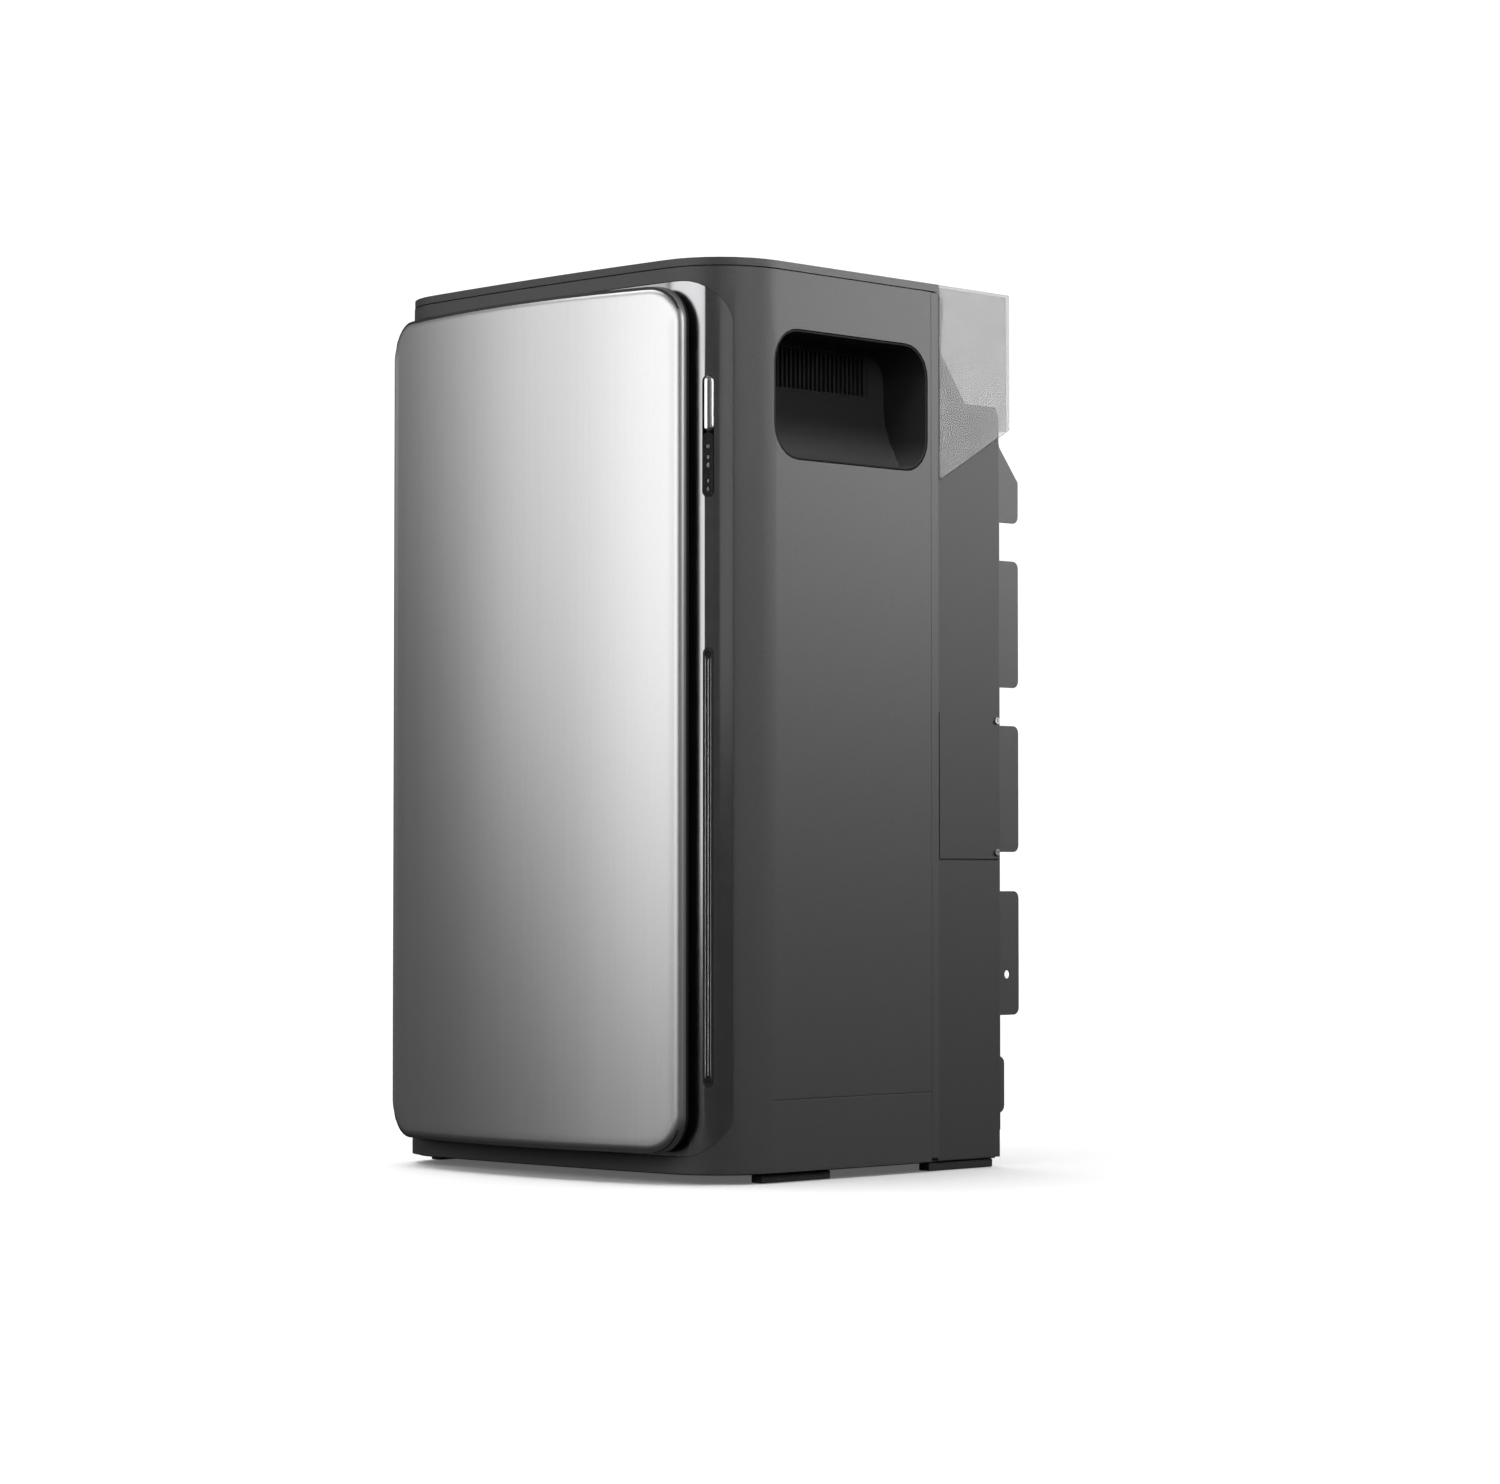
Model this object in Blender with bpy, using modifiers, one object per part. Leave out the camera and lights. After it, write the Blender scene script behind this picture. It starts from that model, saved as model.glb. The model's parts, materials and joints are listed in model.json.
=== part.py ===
"""Home energy storage cabinet: a battery and inverter in a floor-standing case with a removable steel front.

Metres, +Z up, the front faces -Y. The origin is on the floor at the centre of the whole object's box.
"""

import math

import bmesh
import bpy
from mathutils import Matrix, Vector

# Driving dimensions of the case
CASE_WIDTH = 0.548
CASE_HEIGHT = 0.960
CORNER_RADIUS = 0.086
FRONT_BULGE = 0.0106
FOOT_HEIGHT = 0.0107
TRAY_DROP = 0.0015
LID_HEIGHT = 0.0095
LID_GAP = 0.0012
PANEL_PROUD = 0.047
SEAM_DEPTH = 0.3345
REAR_DEPTH = 0.4500
TAB_REACH = 0.0340

# The front-most point is the panel's middle and the rear-most is the wall tabs, and the origin is midway
DEPTH_SHIFT = (REAR_DEPTH + TAB_REACH - PANEL_PROUD) / 2

GAP = 0.0004
WALL = 0.0025
HALF_WIDTH = CASE_WIDTH / 2
CASE_BOTTOM = FOOT_HEIGHT
CASE_TOP = CASE_BOTTOM + CASE_HEIGHT
TOP = CASE_TOP + LID_HEIGHT
ARC_X = HALF_WIDTH - CORNER_RADIUS
ARC_Y = FRONT_BULGE * (ARC_X / HALF_WIDTH) ** 2 + CORNER_RADIUS - DEPTH_SHIFT
SEAM_Y = SEAM_DEPTH - DEPTH_SHIFT
REAR_Y = REAR_DEPTH - DEPTH_SHIFT
TAB_Y = REAR_Y + TAB_REACH

# Front panel
PANEL_HALF = 0.235
PANEL_EDGE_Y = -0.0165 - DEPTH_SHIFT
PANEL_MIDDLE_Y = -PANEL_PROUD - DEPTH_SHIFT
PANEL_BOTTOM = CASE_BOTTOM + 0.0211
PANEL_TOP = CASE_BOTTOM + 0.9384
PANEL_CORNER = 0.042
PANEL_THICKNESS = 0.0015
PANEL_ROLL = 0.010
FRAME_DEPTH = 0.006

# Glossy fascia behind the panel
FASCIA_HALF = 0.2576
FASCIA_BOTTOM = CASE_BOTTOM + 0.0179
FASCIA_TOP = CASE_BOTTOM + 0.9456
FASCIA_CORNER = 0.046
FASCIA_THICKNESS = 0.003
FASCIA_RECESS = 0.0008

# Controls on the right front corner, on the arc at this angle from straight ahead
CONTROL_ANGLE = math.radians(36.3)
BUTTON_BOTTOM = CASE_BOTTOM + 0.7835
BUTTON_TOP = CASE_BOTTOM + 0.8437
PILL_BOTTOM = CASE_BOTTOM + 0.7143
PILL_WIDTH = 0.0126
LIGHT_BOTTOM = CASE_BOTTOM + 0.0920
LIGHT_TOP = CASE_BOTTOM + 0.5547
LIGHT_WIDTH = 0.0110
BUTTON_TRAVEL = 0.0015

# Side scoops, one on each side
SCOOP_FRONT = 0.0865 - DEPTH_SHIFT
SCOOP_BACK = 0.3275 - DEPTH_SHIFT
SCOOP_BOTTOM = CASE_BOTTOM + 0.7585
SCOOP_TOP = CASE_BOTTOM + 0.8990
SCOOP_CORNER = 0.036
SCOOP_DEPTH = 0.068
SCOOP_WALL = 0.002
SCOOP_GAP = 0.0008
GRILLE_HEIGHT = 0.052
GRILLE_PITCH = 0.0068
GRILLE_BAR = 0.0025

# Rear chassis and what is on it
CHASSIS_INSET = 0.004
DECK_DROP = 0.1285
SLOPE_DROP = 0.0725
FRAME_WIDTH = 0.0120
CHASSIS_FRONT = SEAM_Y + FRAME_WIDTH + GAP
HOOD_FRONT_Y = CHASSIS_FRONT + 0.0003
HOOD_REAR_Y = REAR_Y + 0.0155
HOOD_WALL = 0.0025
HOOD_LOW_REAR = TOP - 0.1530
HOOD_LOW_FRONT = TOP - 0.2175
COVER_BOTTOM = CASE_BOTTOM + 0.3330
COVER_TOP = CASE_BOTTOM + 0.4955
GROOVE_HEIGHT = CASE_BOTTOM + 0.0765

CURVE_STEPS = 8


def new_collection(name):
    collection = bpy.data.collections.new(name)
    bpy.context.scene.collection.children.link(collection)
    return collection


for leftover in list(bpy.data.objects):
    bpy.data.objects.remove(leftover)
PARTS = new_collection("energy_storage_cabinet")
CUTTERS = new_collection("cutters")


def make_material(name, colour, roughness, metallic=0.0, alpha=1.0):
    made = bpy.data.materials.new(name)
    made.use_nodes = True
    shader = made.node_tree.nodes["Principled BSDF"]
    shader.inputs["Base Color"].default_value = (*colour, 1.0)
    shader.inputs["Roughness"].default_value = roughness
    shader.inputs["Metallic"].default_value = metallic
    shader.inputs["Alpha"].default_value = alpha
    return made


POWDER = make_material("powder_coat", (0.070, 0.070, 0.072), 0.55, 0.3)
STEEL = make_material("brushed_steel", (0.62, 0.62, 0.63), 0.28, 1.0)
GLOSS = make_material("gloss_black", (0.02, 0.02, 0.021), 0.08)
BLACK = make_material("black_plastic", (0.018, 0.018, 0.018), 0.5)
SMOKED = make_material("smoked_polycarbonate", (0.55, 0.56, 0.57), 0.2, 0.0, 0.45)
LENS = make_material("lens", (0.85, 0.87, 0.9), 0.15)
CHROME = make_material("polished_metal", (0.8, 0.8, 0.81), 0.12, 1.0)
ALUMINIUM = make_material("aluminium", (0.68, 0.69, 0.7), 0.4, 1.0)
COPPER = make_material("copper", (0.72, 0.42, 0.27), 0.3, 1.0)
BOARD = make_material("circuit_board", (0.03, 0.16, 0.08), 0.5)
RUBBER = make_material("rubber", (0.02, 0.02, 0.02), 0.8)
ZINC = make_material("zinc_plate", (0.55, 0.56, 0.58), 0.35, 1.0)
MODULE = make_material("module_case", (0.16, 0.17, 0.18), 0.5)


def as_object(name, mesh_data, finish, collection=PARTS):
    made = bpy.data.objects.new(name, mesh_data)
    collection.objects.link(made)
    if finish:
        made.data.materials.append(finish)
    if collection is CUTTERS:
        made.hide_render = True
        made.display_type = "WIRE"
    return made


def mesh_of(bm, name):
    bmesh.ops.recalc_face_normals(bm, faces=bm.faces)
    mesh_data = bpy.data.meshes.new(name)
    bm.to_mesh(mesh_data)
    bm.free()
    return mesh_data


def box(name, low, high, finish=None, collection=PARTS, bevel=0.0, segments=1):
    """A block between two corners, with its edges bevelled by a modifier."""
    bm = bmesh.new()
    middle = (Vector(low) + Vector(high)) / 2
    bmesh.ops.create_cube(bm, size=1.0)
    bmesh.ops.scale(bm, vec=Vector(high) - Vector(low), verts=bm.verts)
    made = as_object(name, mesh_of(bm, name), finish, collection)
    made.location = middle
    if bevel:
        add_bevel(made, bevel, segments)
    return made


def add_bevel(made, width, segments=1):
    bevel = made.modifiers.new("bevel", "BEVEL")
    bevel.width = width
    bevel.segments = segments
    bevel.limit_method = "ANGLE"
    bevel.angle_limit = math.radians(40)


def cylinder(name, centre, radius, length, axis="Z", finish=None, collection=PARTS, sides=24, end_radius=None):
    """A round bar about an axis, or a cone where its far end has another radius."""
    bm = bmesh.new()
    bmesh.ops.create_cone(
        bm, cap_ends=True, segments=sides, radius1=radius, radius2=radius if end_radius is None else end_radius,
        depth=length,
    )
    turn = {"Z": Matrix(), "X": Matrix.Rotation(math.pi / 2, 4, "Y"), "Y": Matrix.Rotation(-math.pi / 2, 4, "X")}
    bmesh.ops.transform(bm, matrix=turn[axis], verts=bm.verts)
    made = as_object(name, mesh_of(bm, name), finish, collection)
    made.location = centre
    return made


def prism(name, points, low, high, plane="XY", finish=None, collection=PARTS):
    """A flat outline given thickness. It is drawn as a filled 2D curve and made a mesh.

    plane names the outline's two axes, and low and high are its ends along the third.
    """
    curve = bpy.data.curves.new(name, "CURVE")
    curve.dimensions = "2D"
    curve.fill_mode = "BOTH"
    curve.extrude = (high - low) / 2
    spline = curve.splines.new("POLY")
    spline.points.add(len(points) - 1)
    for point, (a, b) in zip(spline.points, points):
        point.co = (a, b, 0.0, 1.0)
    spline.use_cyclic_u = True
    drawn = bpy.data.objects.new(name + "_curve", curve)
    CUTTERS.objects.link(drawn)
    graph = bpy.context.evaluated_depsgraph_get()
    mesh_data = bpy.data.meshes.new_from_object(drawn.evaluated_get(graph))
    bpy.data.objects.remove(drawn)
    middle = (low + high) / 2
    axes = {
        "XY": Matrix.Translation((0, 0, middle)),
        "XZ": Matrix(((1, 0, 0, 0), (0, 0, 1, middle), (0, 1, 0, 0), (0, 0, 0, 1))),
        "YZ": Matrix(((0, 0, 1, middle), (1, 0, 0, 0), (0, 1, 0, 0), (0, 0, 0, 1))),
    }
    bm = bmesh.new()
    bm.from_mesh(mesh_data)
    bpy.data.meshes.remove(mesh_data)
    bmesh.ops.transform(bm, matrix=axes[plane], verts=bm.verts)
    bmesh.ops.remove_doubles(bm, verts=bm.verts, dist=1e-6)
    return as_object(name, mesh_of(bm, name), finish, collection)


def apply_modifiers(made):
    """Replaces an object's mesh by its evaluated one, so that it can be cut again or be a cutter."""
    graph = bpy.context.evaluated_depsgraph_get()
    mesh_data = bpy.data.meshes.new_from_object(made.evaluated_get(graph))
    made.modifiers.clear()
    made.data = mesh_data
    return made


def boolean(made, other, operation):
    apply_modifiers(other)
    modifier = made.modifiers.new(operation.lower(), "BOOLEAN")
    modifier.operation = operation
    modifier.solver = "EXACT"
    modifier.object = other
    apply_modifiers(made)
    bpy.data.objects.remove(other)
    return made


def cut(made, *cutters):
    for cutter in cutters:
        boolean(made, cutter, "DIFFERENCE")
    return made


def join(made, *others):
    for other in others:
        boolean(made, other, "UNION")
    return made


def smooth(made, degrees=35):
    made.data.shade_smooth()
    made.data.set_sharp_from_angle(angle=math.radians(degrees))
    return made


def arc(cx, cy, radius, start, end, steps=CURVE_STEPS):
    """Points on a circle from one angle to another, in degrees from the first axis."""
    turns = [math.radians(start + (end - start) * i / steps) for i in range(steps + 1)]
    return [(cx + radius * math.cos(a), cy + radius * math.sin(a)) for a in turns]


def rounded(low_a, high_a, low_b, high_b, radius, steps=CURVE_STEPS):
    """A rectangle with round corners."""
    return (
        arc(high_a - radius, high_b - radius, radius, 0, 90, steps)
        + arc(low_a + radius, high_b - radius, radius, 90, 180, steps)
        + arc(low_a + radius, low_b + radius, radius, 180, 270, steps)
        + arc(high_a - radius, low_b + radius, radius, 270, 360, steps)
    )


def front_line(inset):
    """The case's plan outline from its left side round the bowed front to its right side, moved inwards."""
    radius = CORNER_RADIUS - inset
    right = arc(ARC_X, ARC_Y, radius, -90, 0)
    middle = []
    for i in range(1, CURVE_STEPS):
        x = ARC_X * i / CURVE_STEPS
        middle.append((x, FRONT_BULGE * (x / HALF_WIDTH) ** 2 - DEPTH_SHIFT + inset))
    half = [*middle, *right]
    return [(-x, y) for x, y in reversed(half)] + [(0.0, -DEPTH_SHIFT + inset)] + half


def plan(inset, back):
    """The closed plan outline, cut off straight at the back."""
    line = front_line(inset)
    return [(line[0][0], back), *line, (line[-1][0], back)]


def mirrored_pair(stem, build):
    """Builds a piece for the right side and its mirror image for the left one."""
    right = build(stem + "_right")
    apply_modifiers(right)
    left = as_object(stem + "_left", right.data.copy(), None)
    left.matrix_world = right.matrix_world
    left.data.transform(right.matrix_world)
    left.matrix_world = Matrix.Identity(4)
    left.data.transform(Matrix.Scale(-1, 4, (1, 0, 0)))
    left.data.flip_normals()
    return right, left


def on_corner(made, outward, height):
    """Places a piece modelled about its own origin, facing -Y, on the right front corner."""
    radius = CORNER_RADIUS + outward
    made.location = (
        ARC_X + radius * math.sin(CONTROL_ANGLE),
        ARC_Y - radius * math.cos(CONTROL_ANGLE),
        height,
    )
    made.rotation_euler = (0, 0, CONTROL_ANGLE)
    return made


def pill(name, width, height, near, far, finish=None, collection=PARTS):
    """An upright bar with round ends, from y = near to y = far."""
    outline = rounded(-width / 2, width / 2, -height / 2, height / 2, width / 2 - 1e-5, 6)
    return prism(name, outline, near, far, "XZ", finish, collection)


# ---------------------------------------------------------------- case shells


def scoop_cutter(name, grow, reach):
    outline = rounded(
        SCOOP_FRONT - grow, SCOOP_BACK + grow, SCOOP_BOTTOM - grow, SCOOP_TOP + grow, SCOOP_CORNER + grow, 6
    )
    return prism(name, outline, HALF_WIDTH - reach, HALF_WIDTH + 0.02, "YZ", None, CUTTERS)


def make_casing():
    casing = prism("front_casing", plan(0.0, SEAM_Y - 0.0018), CASE_BOTTOM, CASE_TOP, "XY", POWDER)
    cut(casing, prism("inside", plan(WALL, SEAM_Y + 0.1), CASE_BOTTOM - 0.1, CASE_TOP + 0.1, "XY", None, CUTTERS))
    fascia_hole = rounded(-FASCIA_HALF, FASCIA_HALF, FASCIA_BOTTOM, FASCIA_TOP, FASCIA_CORNER)
    cut(casing, prism("fascia_hole", fascia_hole, -DEPTH_SHIFT - 0.1, ARC_Y - 0.02, "XZ", None, CUTTERS))
    for side in (1, -1):
        hole = scoop_cutter("scoop_hole", 0.0, 0.02)
        if side < 0:
            hole.data.transform(Matrix.Scale(-1, 4, (1, 0, 0)))
            hole.data.flip_normals()
        cut(casing, hole)
        edges = sorted((side * (HALF_WIDTH - 0.0009), side * (HALF_WIDTH + 0.01)))
        groove = box("groove", (edges[0], ARC_Y - 0.006, GROOVE_HEIGHT - 0.0006),
                     (edges[1], SEAM_Y + 0.02, GROOVE_HEIGHT + 0.0006), None, CUTTERS)
        cut(casing, groove)
    return smooth(casing)


def make_lid():
    lid = prism("top_lid", plan(0.0005, SEAM_Y + FRAME_WIDTH), CASE_TOP + LID_GAP, TOP, "XY", POWDER)
    add_bevel(lid, 0.003, 2)
    apply_modifiers(lid)
    return smooth(lid)


def make_base():
    base = prism("base_tray", plan(0.006, REAR_Y - 0.006), CASE_BOTTOM - TRAY_DROP, CASE_BOTTOM + 0.003, "XY", BLACK)
    return smooth(base)


def make_fascia():
    outer = FASCIA_RECESS
    fascia = prism("front_fascia", plan(outer, 0.0), CASE_BOTTOM, CASE_TOP, "XY", GLOSS)
    inner = plan(outer + FASCIA_THICKNESS, 0.1)
    cut(fascia, prism("fascia_inside", inner, CASE_BOTTOM - 0.1, CASE_TOP + 0.1, "XY", None, CUTTERS))
    edge = rounded(
        -FASCIA_HALF + GAP, FASCIA_HALF - GAP, FASCIA_BOTTOM + GAP, FASCIA_TOP - GAP, FASCIA_CORNER - GAP
    )
    keep = prism("fascia_edge", edge, -DEPTH_SHIFT - 0.1, ARC_Y - 0.021, "XZ", None, CUTTERS)
    boolean(fascia, keep, "INTERSECT")
    slots = (
        ("pill_slot", PILL_WIDTH, PILL_BOTTOM, BUTTON_TOP),
        ("light_slot", LIGHT_WIDTH, LIGHT_BOTTOM, LIGHT_TOP),
    )
    for name, width, low, high in slots:
        slot = pill(name, width, high - low, -0.01, 0.012, None, CUTTERS)
        on_corner(slot, -0.002, (low + high) / 2)
        cut(fascia, slot)
    return smooth(fascia)


def make_seam_frame():
    """The narrow band between the front casing and the rear chassis, a closed ring."""
    half = HALF_WIDTH - 0.0010
    low = CASE_BOTTOM + 0.0034
    frame = box("seam_frame", (-half, SEAM_Y - 0.0008, low), (half, SEAM_Y + FRAME_WIDTH, CASE_TOP), POWDER,
                bevel=0.0006)
    hole = box("frame_hole", (-half + 0.006, SEAM_Y - 0.01, low + 0.01),
               (half - 0.006, SEAM_Y + 0.03, CASE_TOP - 0.006), None, CUTTERS)
    return cut(frame, hole)


def chassis_profile(inset):
    """The rear chassis seen from the side: a slope behind the seam, a deck for the wiring, and the back."""
    deck = TOP - DECK_DROP
    front = CHASSIS_FRONT if inset == 0 else SEAM_Y - 0.1
    slope = 0.0420 / (DECK_DROP - SLOPE_DROP)
    head = TOP - SLOPE_DROP
    start = CHASSIS_FRONT + 0.0050
    if inset:
        back = REAR_Y - inset
        lean = inset * math.hypot(1, slope)
        return [
            (front, CASE_BOTTOM - 0.1), (back, CASE_BOTTOM - 0.1), (back, deck - inset - 0.010),
            (back - 0.005, deck - inset), (start + slope * (head - deck + inset) - lean, deck - inset),
            (start - lean, head), (start - lean, CASE_TOP + 0.1), (front, CASE_TOP + 0.1),
        ]
    return [
        (front, CASE_BOTTOM), (REAR_Y, CASE_BOTTOM), (REAR_Y, deck - 0.011), (REAR_Y - 0.006, deck),
        (start + 0.0420, deck), (start, head), (start - 0.001, head + 0.003), (start - 0.001, CASE_TOP),
        (front, CASE_TOP),
    ]


def make_chassis():
    half = HALF_WIDTH - CHASSIS_INSET
    chassis = prism("rear_chassis", chassis_profile(0.0), -half, half, "YZ", POWDER)
    inside = prism("chassis_inside", chassis_profile(0.002), -half + 0.002, half - 0.002, "YZ", None, CUTTERS)
    cut(chassis, inside)
    pocket = box("cover_hole", (half - 0.01, SEAM_Y + 0.030, COVER_BOTTOM + 0.014),
                 (half + 0.01, REAR_Y - 0.016, COVER_TOP - 0.014), None, CUTTERS)
    cut(chassis, pocket)
    for x in (-0.15, -0.11):
        cut(chassis, cylinder("gland_hole", (x, REAR_Y - 0.040, TOP - DECK_DROP), 0.0085, 0.02, "Z", None, CUTTERS))
    return smooth(chassis, 30)


def make_access_cover():
    outer = HALF_WIDTH - CHASSIS_INSET + GAP
    cover = box("side_access_cover", (outer, SEAM_Y + 0.014, COVER_BOTTOM), (outer + 0.0015, REAR_Y - 0.0015, COVER_TOP),
                POWDER)
    for z in (COVER_BOTTOM + 0.0075, COVER_TOP - 0.0075):
        cut(cover, cylinder("screw_hole", (outer, REAR_Y - 0.0070, z), 0.0024, 0.02, "X", None, CUTTERS, 12))
    return cover


def make_cover_screws():
    outer = HALF_WIDTH - CHASSIS_INSET + GAP
    heights = {"lower": COVER_BOTTOM + 0.0075, "upper": COVER_TOP - 0.0075}
    for label, z in heights.items():
        screw = cylinder("access_cover_screw_" + label, (outer + 0.0028, REAR_Y - 0.0070, z), 0.0037, 0.0018, "X", ZINC,
                         sides=20)
        join(screw, cylinder("thread", (outer + 0.0012, REAR_Y - 0.0070, z), 0.0018, 0.0024, "X", None, CUTTERS, 12))
        recess = box("recess", (outer + 0.0030, REAR_Y - 0.0076, z - 0.0024), (outer + 0.01, REAR_Y - 0.0064, z + 0.0024),
                     None, CUTTERS)
        cut(screw, recess)


def tab_outline():
    """The wall bracket's side: a strip inside the chassis with tabs that reach past its back."""
    inner = REAR_Y + GAP
    far = TAB_Y
    short = REAR_Y + 0.0090
    r = 0.008

    def tab(low, high, reach):
        return [
            (inner, low), *arc(reach - r, low + r, r, -90, 0, 4), *arc(reach - r, high - r, r, 0, 90, 4), (inner, high),
        ]

    levels = [(0.049, 0.112, short), (0.158, 0.297, far), (0.341, 0.483, far), (0.526, 0.669, far)]
    points = []
    for low, high, reach in levels:
        points += tab(CASE_BOTTOM + low, CASE_BOTTOM + high, reach)
    top_low = CASE_BOTTOM + 0.712
    points += [(inner, top_low), *arc(far - r, top_low + r, r, -90, 0, 4), (far, top_low + 0.047), (inner, top_low + 0.085)]
    return points, inner


def make_wall_bracket(name):
    """A folded steel strip bolted to the chassis back, whose tabs hold the case off the wall."""
    tabs, inner = tab_outline()
    outer = HALF_WIDTH - CHASSIS_INSET - 0.0012
    spine = inner + 0.0020
    points = [(inner, CASE_BOTTOM + 0.030)]
    for y, z in tabs:
        points.append((max(y, spine), z))
    points += [(spine, CASE_BOTTOM + 0.800), (inner, CASE_BOTTOM + 0.800)]
    points.insert(1, (spine, CASE_BOTTOM + 0.030))
    bracket = prism(name, points, outer - 0.0020, outer, "YZ", POWDER)
    flange = box("flange", (outer - 0.040, inner, CASE_BOTTOM + 0.030), (outer - 0.0010, spine, CASE_BOTTOM + 0.800),
                 None, CUTTERS)
    join(bracket, flange)
    hole_z = CASE_BOTTOM + 0.2035
    cut(bracket, cylinder("anchor_hole", (outer, REAR_Y + 0.0145, hole_z), 0.0048, 0.02, "X", None, CUTTERS, 20))
    for z in bolt_heights():
        cut(bracket, cylinder("bolt_hole", (outer - 0.022, spine, z), 0.0034, 0.02, "Y", None, CUTTERS, 12))
    return bracket


def bolt_heights():
    return (CASE_BOTTOM + 0.130, CASE_BOTTOM + 0.690)


def make_bracket_bolts():
    x = HALF_WIDTH - CHASSIS_INSET - 0.0012 - 0.022
    for side, label in ((1, "right"), (-1, "left")):
        for z, level in zip(bolt_heights(), ("lower", "upper")):
            start = REAR_Y + 0.0020 + 2 * GAP
            cylinder(f"bracket_bolt_{label}_{level}", (side * x, start + 0.0025, z), 0.0062, 0.0050, "Y", ZINC, sides=6)


def make_feet():
    length = 0.105
    starts = {"front": 0.0740 - DEPTH_SHIFT, "rear": 0.3360 - DEPTH_SHIFT}
    for row, start in starts.items():
        for side, label in ((1, "right"), (-1, "left")):
            edges = sorted((side * (HALF_WIDTH - 0.007), side * (HALF_WIDTH - 0.023)))
            box(f"foot_{row}_{label}", (edges[0], start, 0.0), (edges[1], start + length, CASE_BOTTOM - TRAY_DROP - GAP),
                RUBBER, bevel=0.0008)


# ---------------------------------------------------------------- vents


def scoop_section(grow):
    """The scoop's section from the front: a flat back behind the grille and a floor that curves up to it."""
    back = HALF_WIDTH - SCOOP_DEPTH - grow
    shelf = SCOOP_TOP - GRILLE_HEIGHT - 0.010 - grow
    low = SCOOP_BOTTOM - grow
    mouth = HALF_WIDTH + 0.02
    start = HALF_WIDTH - 0.006
    turns = [math.radians(18 * i) for i in range(5)]
    sweep = [(start - (start - back) * math.sin(t), low + (shelf - low) * (1 - math.cos(t))) for t in turns]
    return [(mouth, low), *sweep, (back, shelf), (back, SCOOP_TOP + grow), (mouth, SCOOP_TOP + grow)]


def make_scoop(name):
    def block(label, grow):
        body = scoop_cutter(label, grow, SCOOP_DEPTH + grow)
        section = prism("section", scoop_section(grow), SCOOP_FRONT - 0.02, SCOOP_BACK + 0.02, "XZ", None, CUTTERS)
        boolean(body, section, "INTERSECT")
        return body

    scoop = block(name, -SCOOP_GAP)
    scoop.name = name
    CUTTERS.objects.unlink(scoop)
    PARTS.objects.link(scoop)
    scoop.hide_render = False
    scoop.display_type = "TEXTURED"
    scoop.data.materials.append(BLACK)
    cut(scoop, block("cavity", -SCOOP_GAP - SCOOP_WALL))
    trim = box("outside", (HALF_WIDTH - 0.0006, -1, 0), (HALF_WIDTH + 0.1, 1, 2), None, CUTTERS)
    window = box("window", (HALF_WIDTH - SCOOP_DEPTH - 0.02, *grille_span()[0]),
                 (HALF_WIDTH - SCOOP_DEPTH + 0.01, *grille_span()[1]), None, CUTTERS)
    cut(scoop, trim, window)
    return smooth(scoop)


def grille_span():
    """The grille's low and high corners in Y and Z."""
    return (
        (SCOOP_FRONT + 0.026, SCOOP_TOP - GRILLE_HEIGHT - 0.004),
        (SCOOP_BACK - 0.026, SCOOP_TOP - 0.006),
    )


def make_grille(name):
    (y0, z0), (y1, z1) = grille_span()
    back = HALF_WIDTH - SCOOP_DEPTH
    low, high = (back - 0.0040, y0 + GAP, z0 + GAP), (back + 0.0015, y1 - GAP, z1 - GAP)
    grille = box(name, low, high, BLACK)
    count = int((y1 - y0 - 0.006) / GRILLE_PITCH)
    start = (y0 + y1) / 2 - count * GRILLE_PITCH / 2
    for i in range(count):
        y = start + i * GRILLE_PITCH + GRILLE_BAR / 2
        slot = box("slot", (back - 0.02, y, z0 + 0.003), (back + 0.02, y + GRILLE_PITCH - GRILLE_BAR, z1 - 0.003),
                   None, CUTTERS)
        cut(grille, slot)
    return grille


FAN_SIZE = 0.050
FAN_THICKNESS = 0.020
FAN_X = HALF_WIDTH - SCOOP_DEPTH - 0.0060 - FAN_THICKNESS
FAN_Z = (grille_span()[0][1] + grille_span()[1][1]) / 2
FAN_YS = {
    "front": (grille_span()[0][0] + grille_span()[1][0]) / 2 - 0.040,
    "rear": (grille_span()[0][0] + grille_span()[1][0]) / 2 + 0.040,
}


def make_fan_frame(label, y):
    half = FAN_SIZE / 2
    frame = box(f"fan_frame_{label}", (FAN_X, y - half, FAN_Z - half), (FAN_X + FAN_THICKNESS, y + half, FAN_Z + half),
                BLACK, bevel=0.003)
    apply_modifiers(frame)
    middle = FAN_X + FAN_THICKNESS / 2
    cut(frame, cylinder("bore", (middle, y, FAN_Z), half - 0.0018, 0.1, "X", None, CUTTERS, 32))
    hub = cylinder("hub", (FAN_X + 0.0015, y, FAN_Z), 0.0110, 0.0030, "X", None, CUTTERS, 24)
    join(frame, hub)
    for turn in range(3):
        strut = box("strut", (-0.0012, -0.0015, 0.008), (0.0012, 0.0015, half - 0.0009), None, CUTTERS)
        apply_modifiers(strut)
        strut.data.transform(Matrix.Translation(strut.location))
        strut.location = (FAN_X + 0.0014, y, FAN_Z)
        strut.rotation_euler = (math.radians(60 + 120 * turn), 0, 0)
        join(frame, strut)
    return frame


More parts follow.
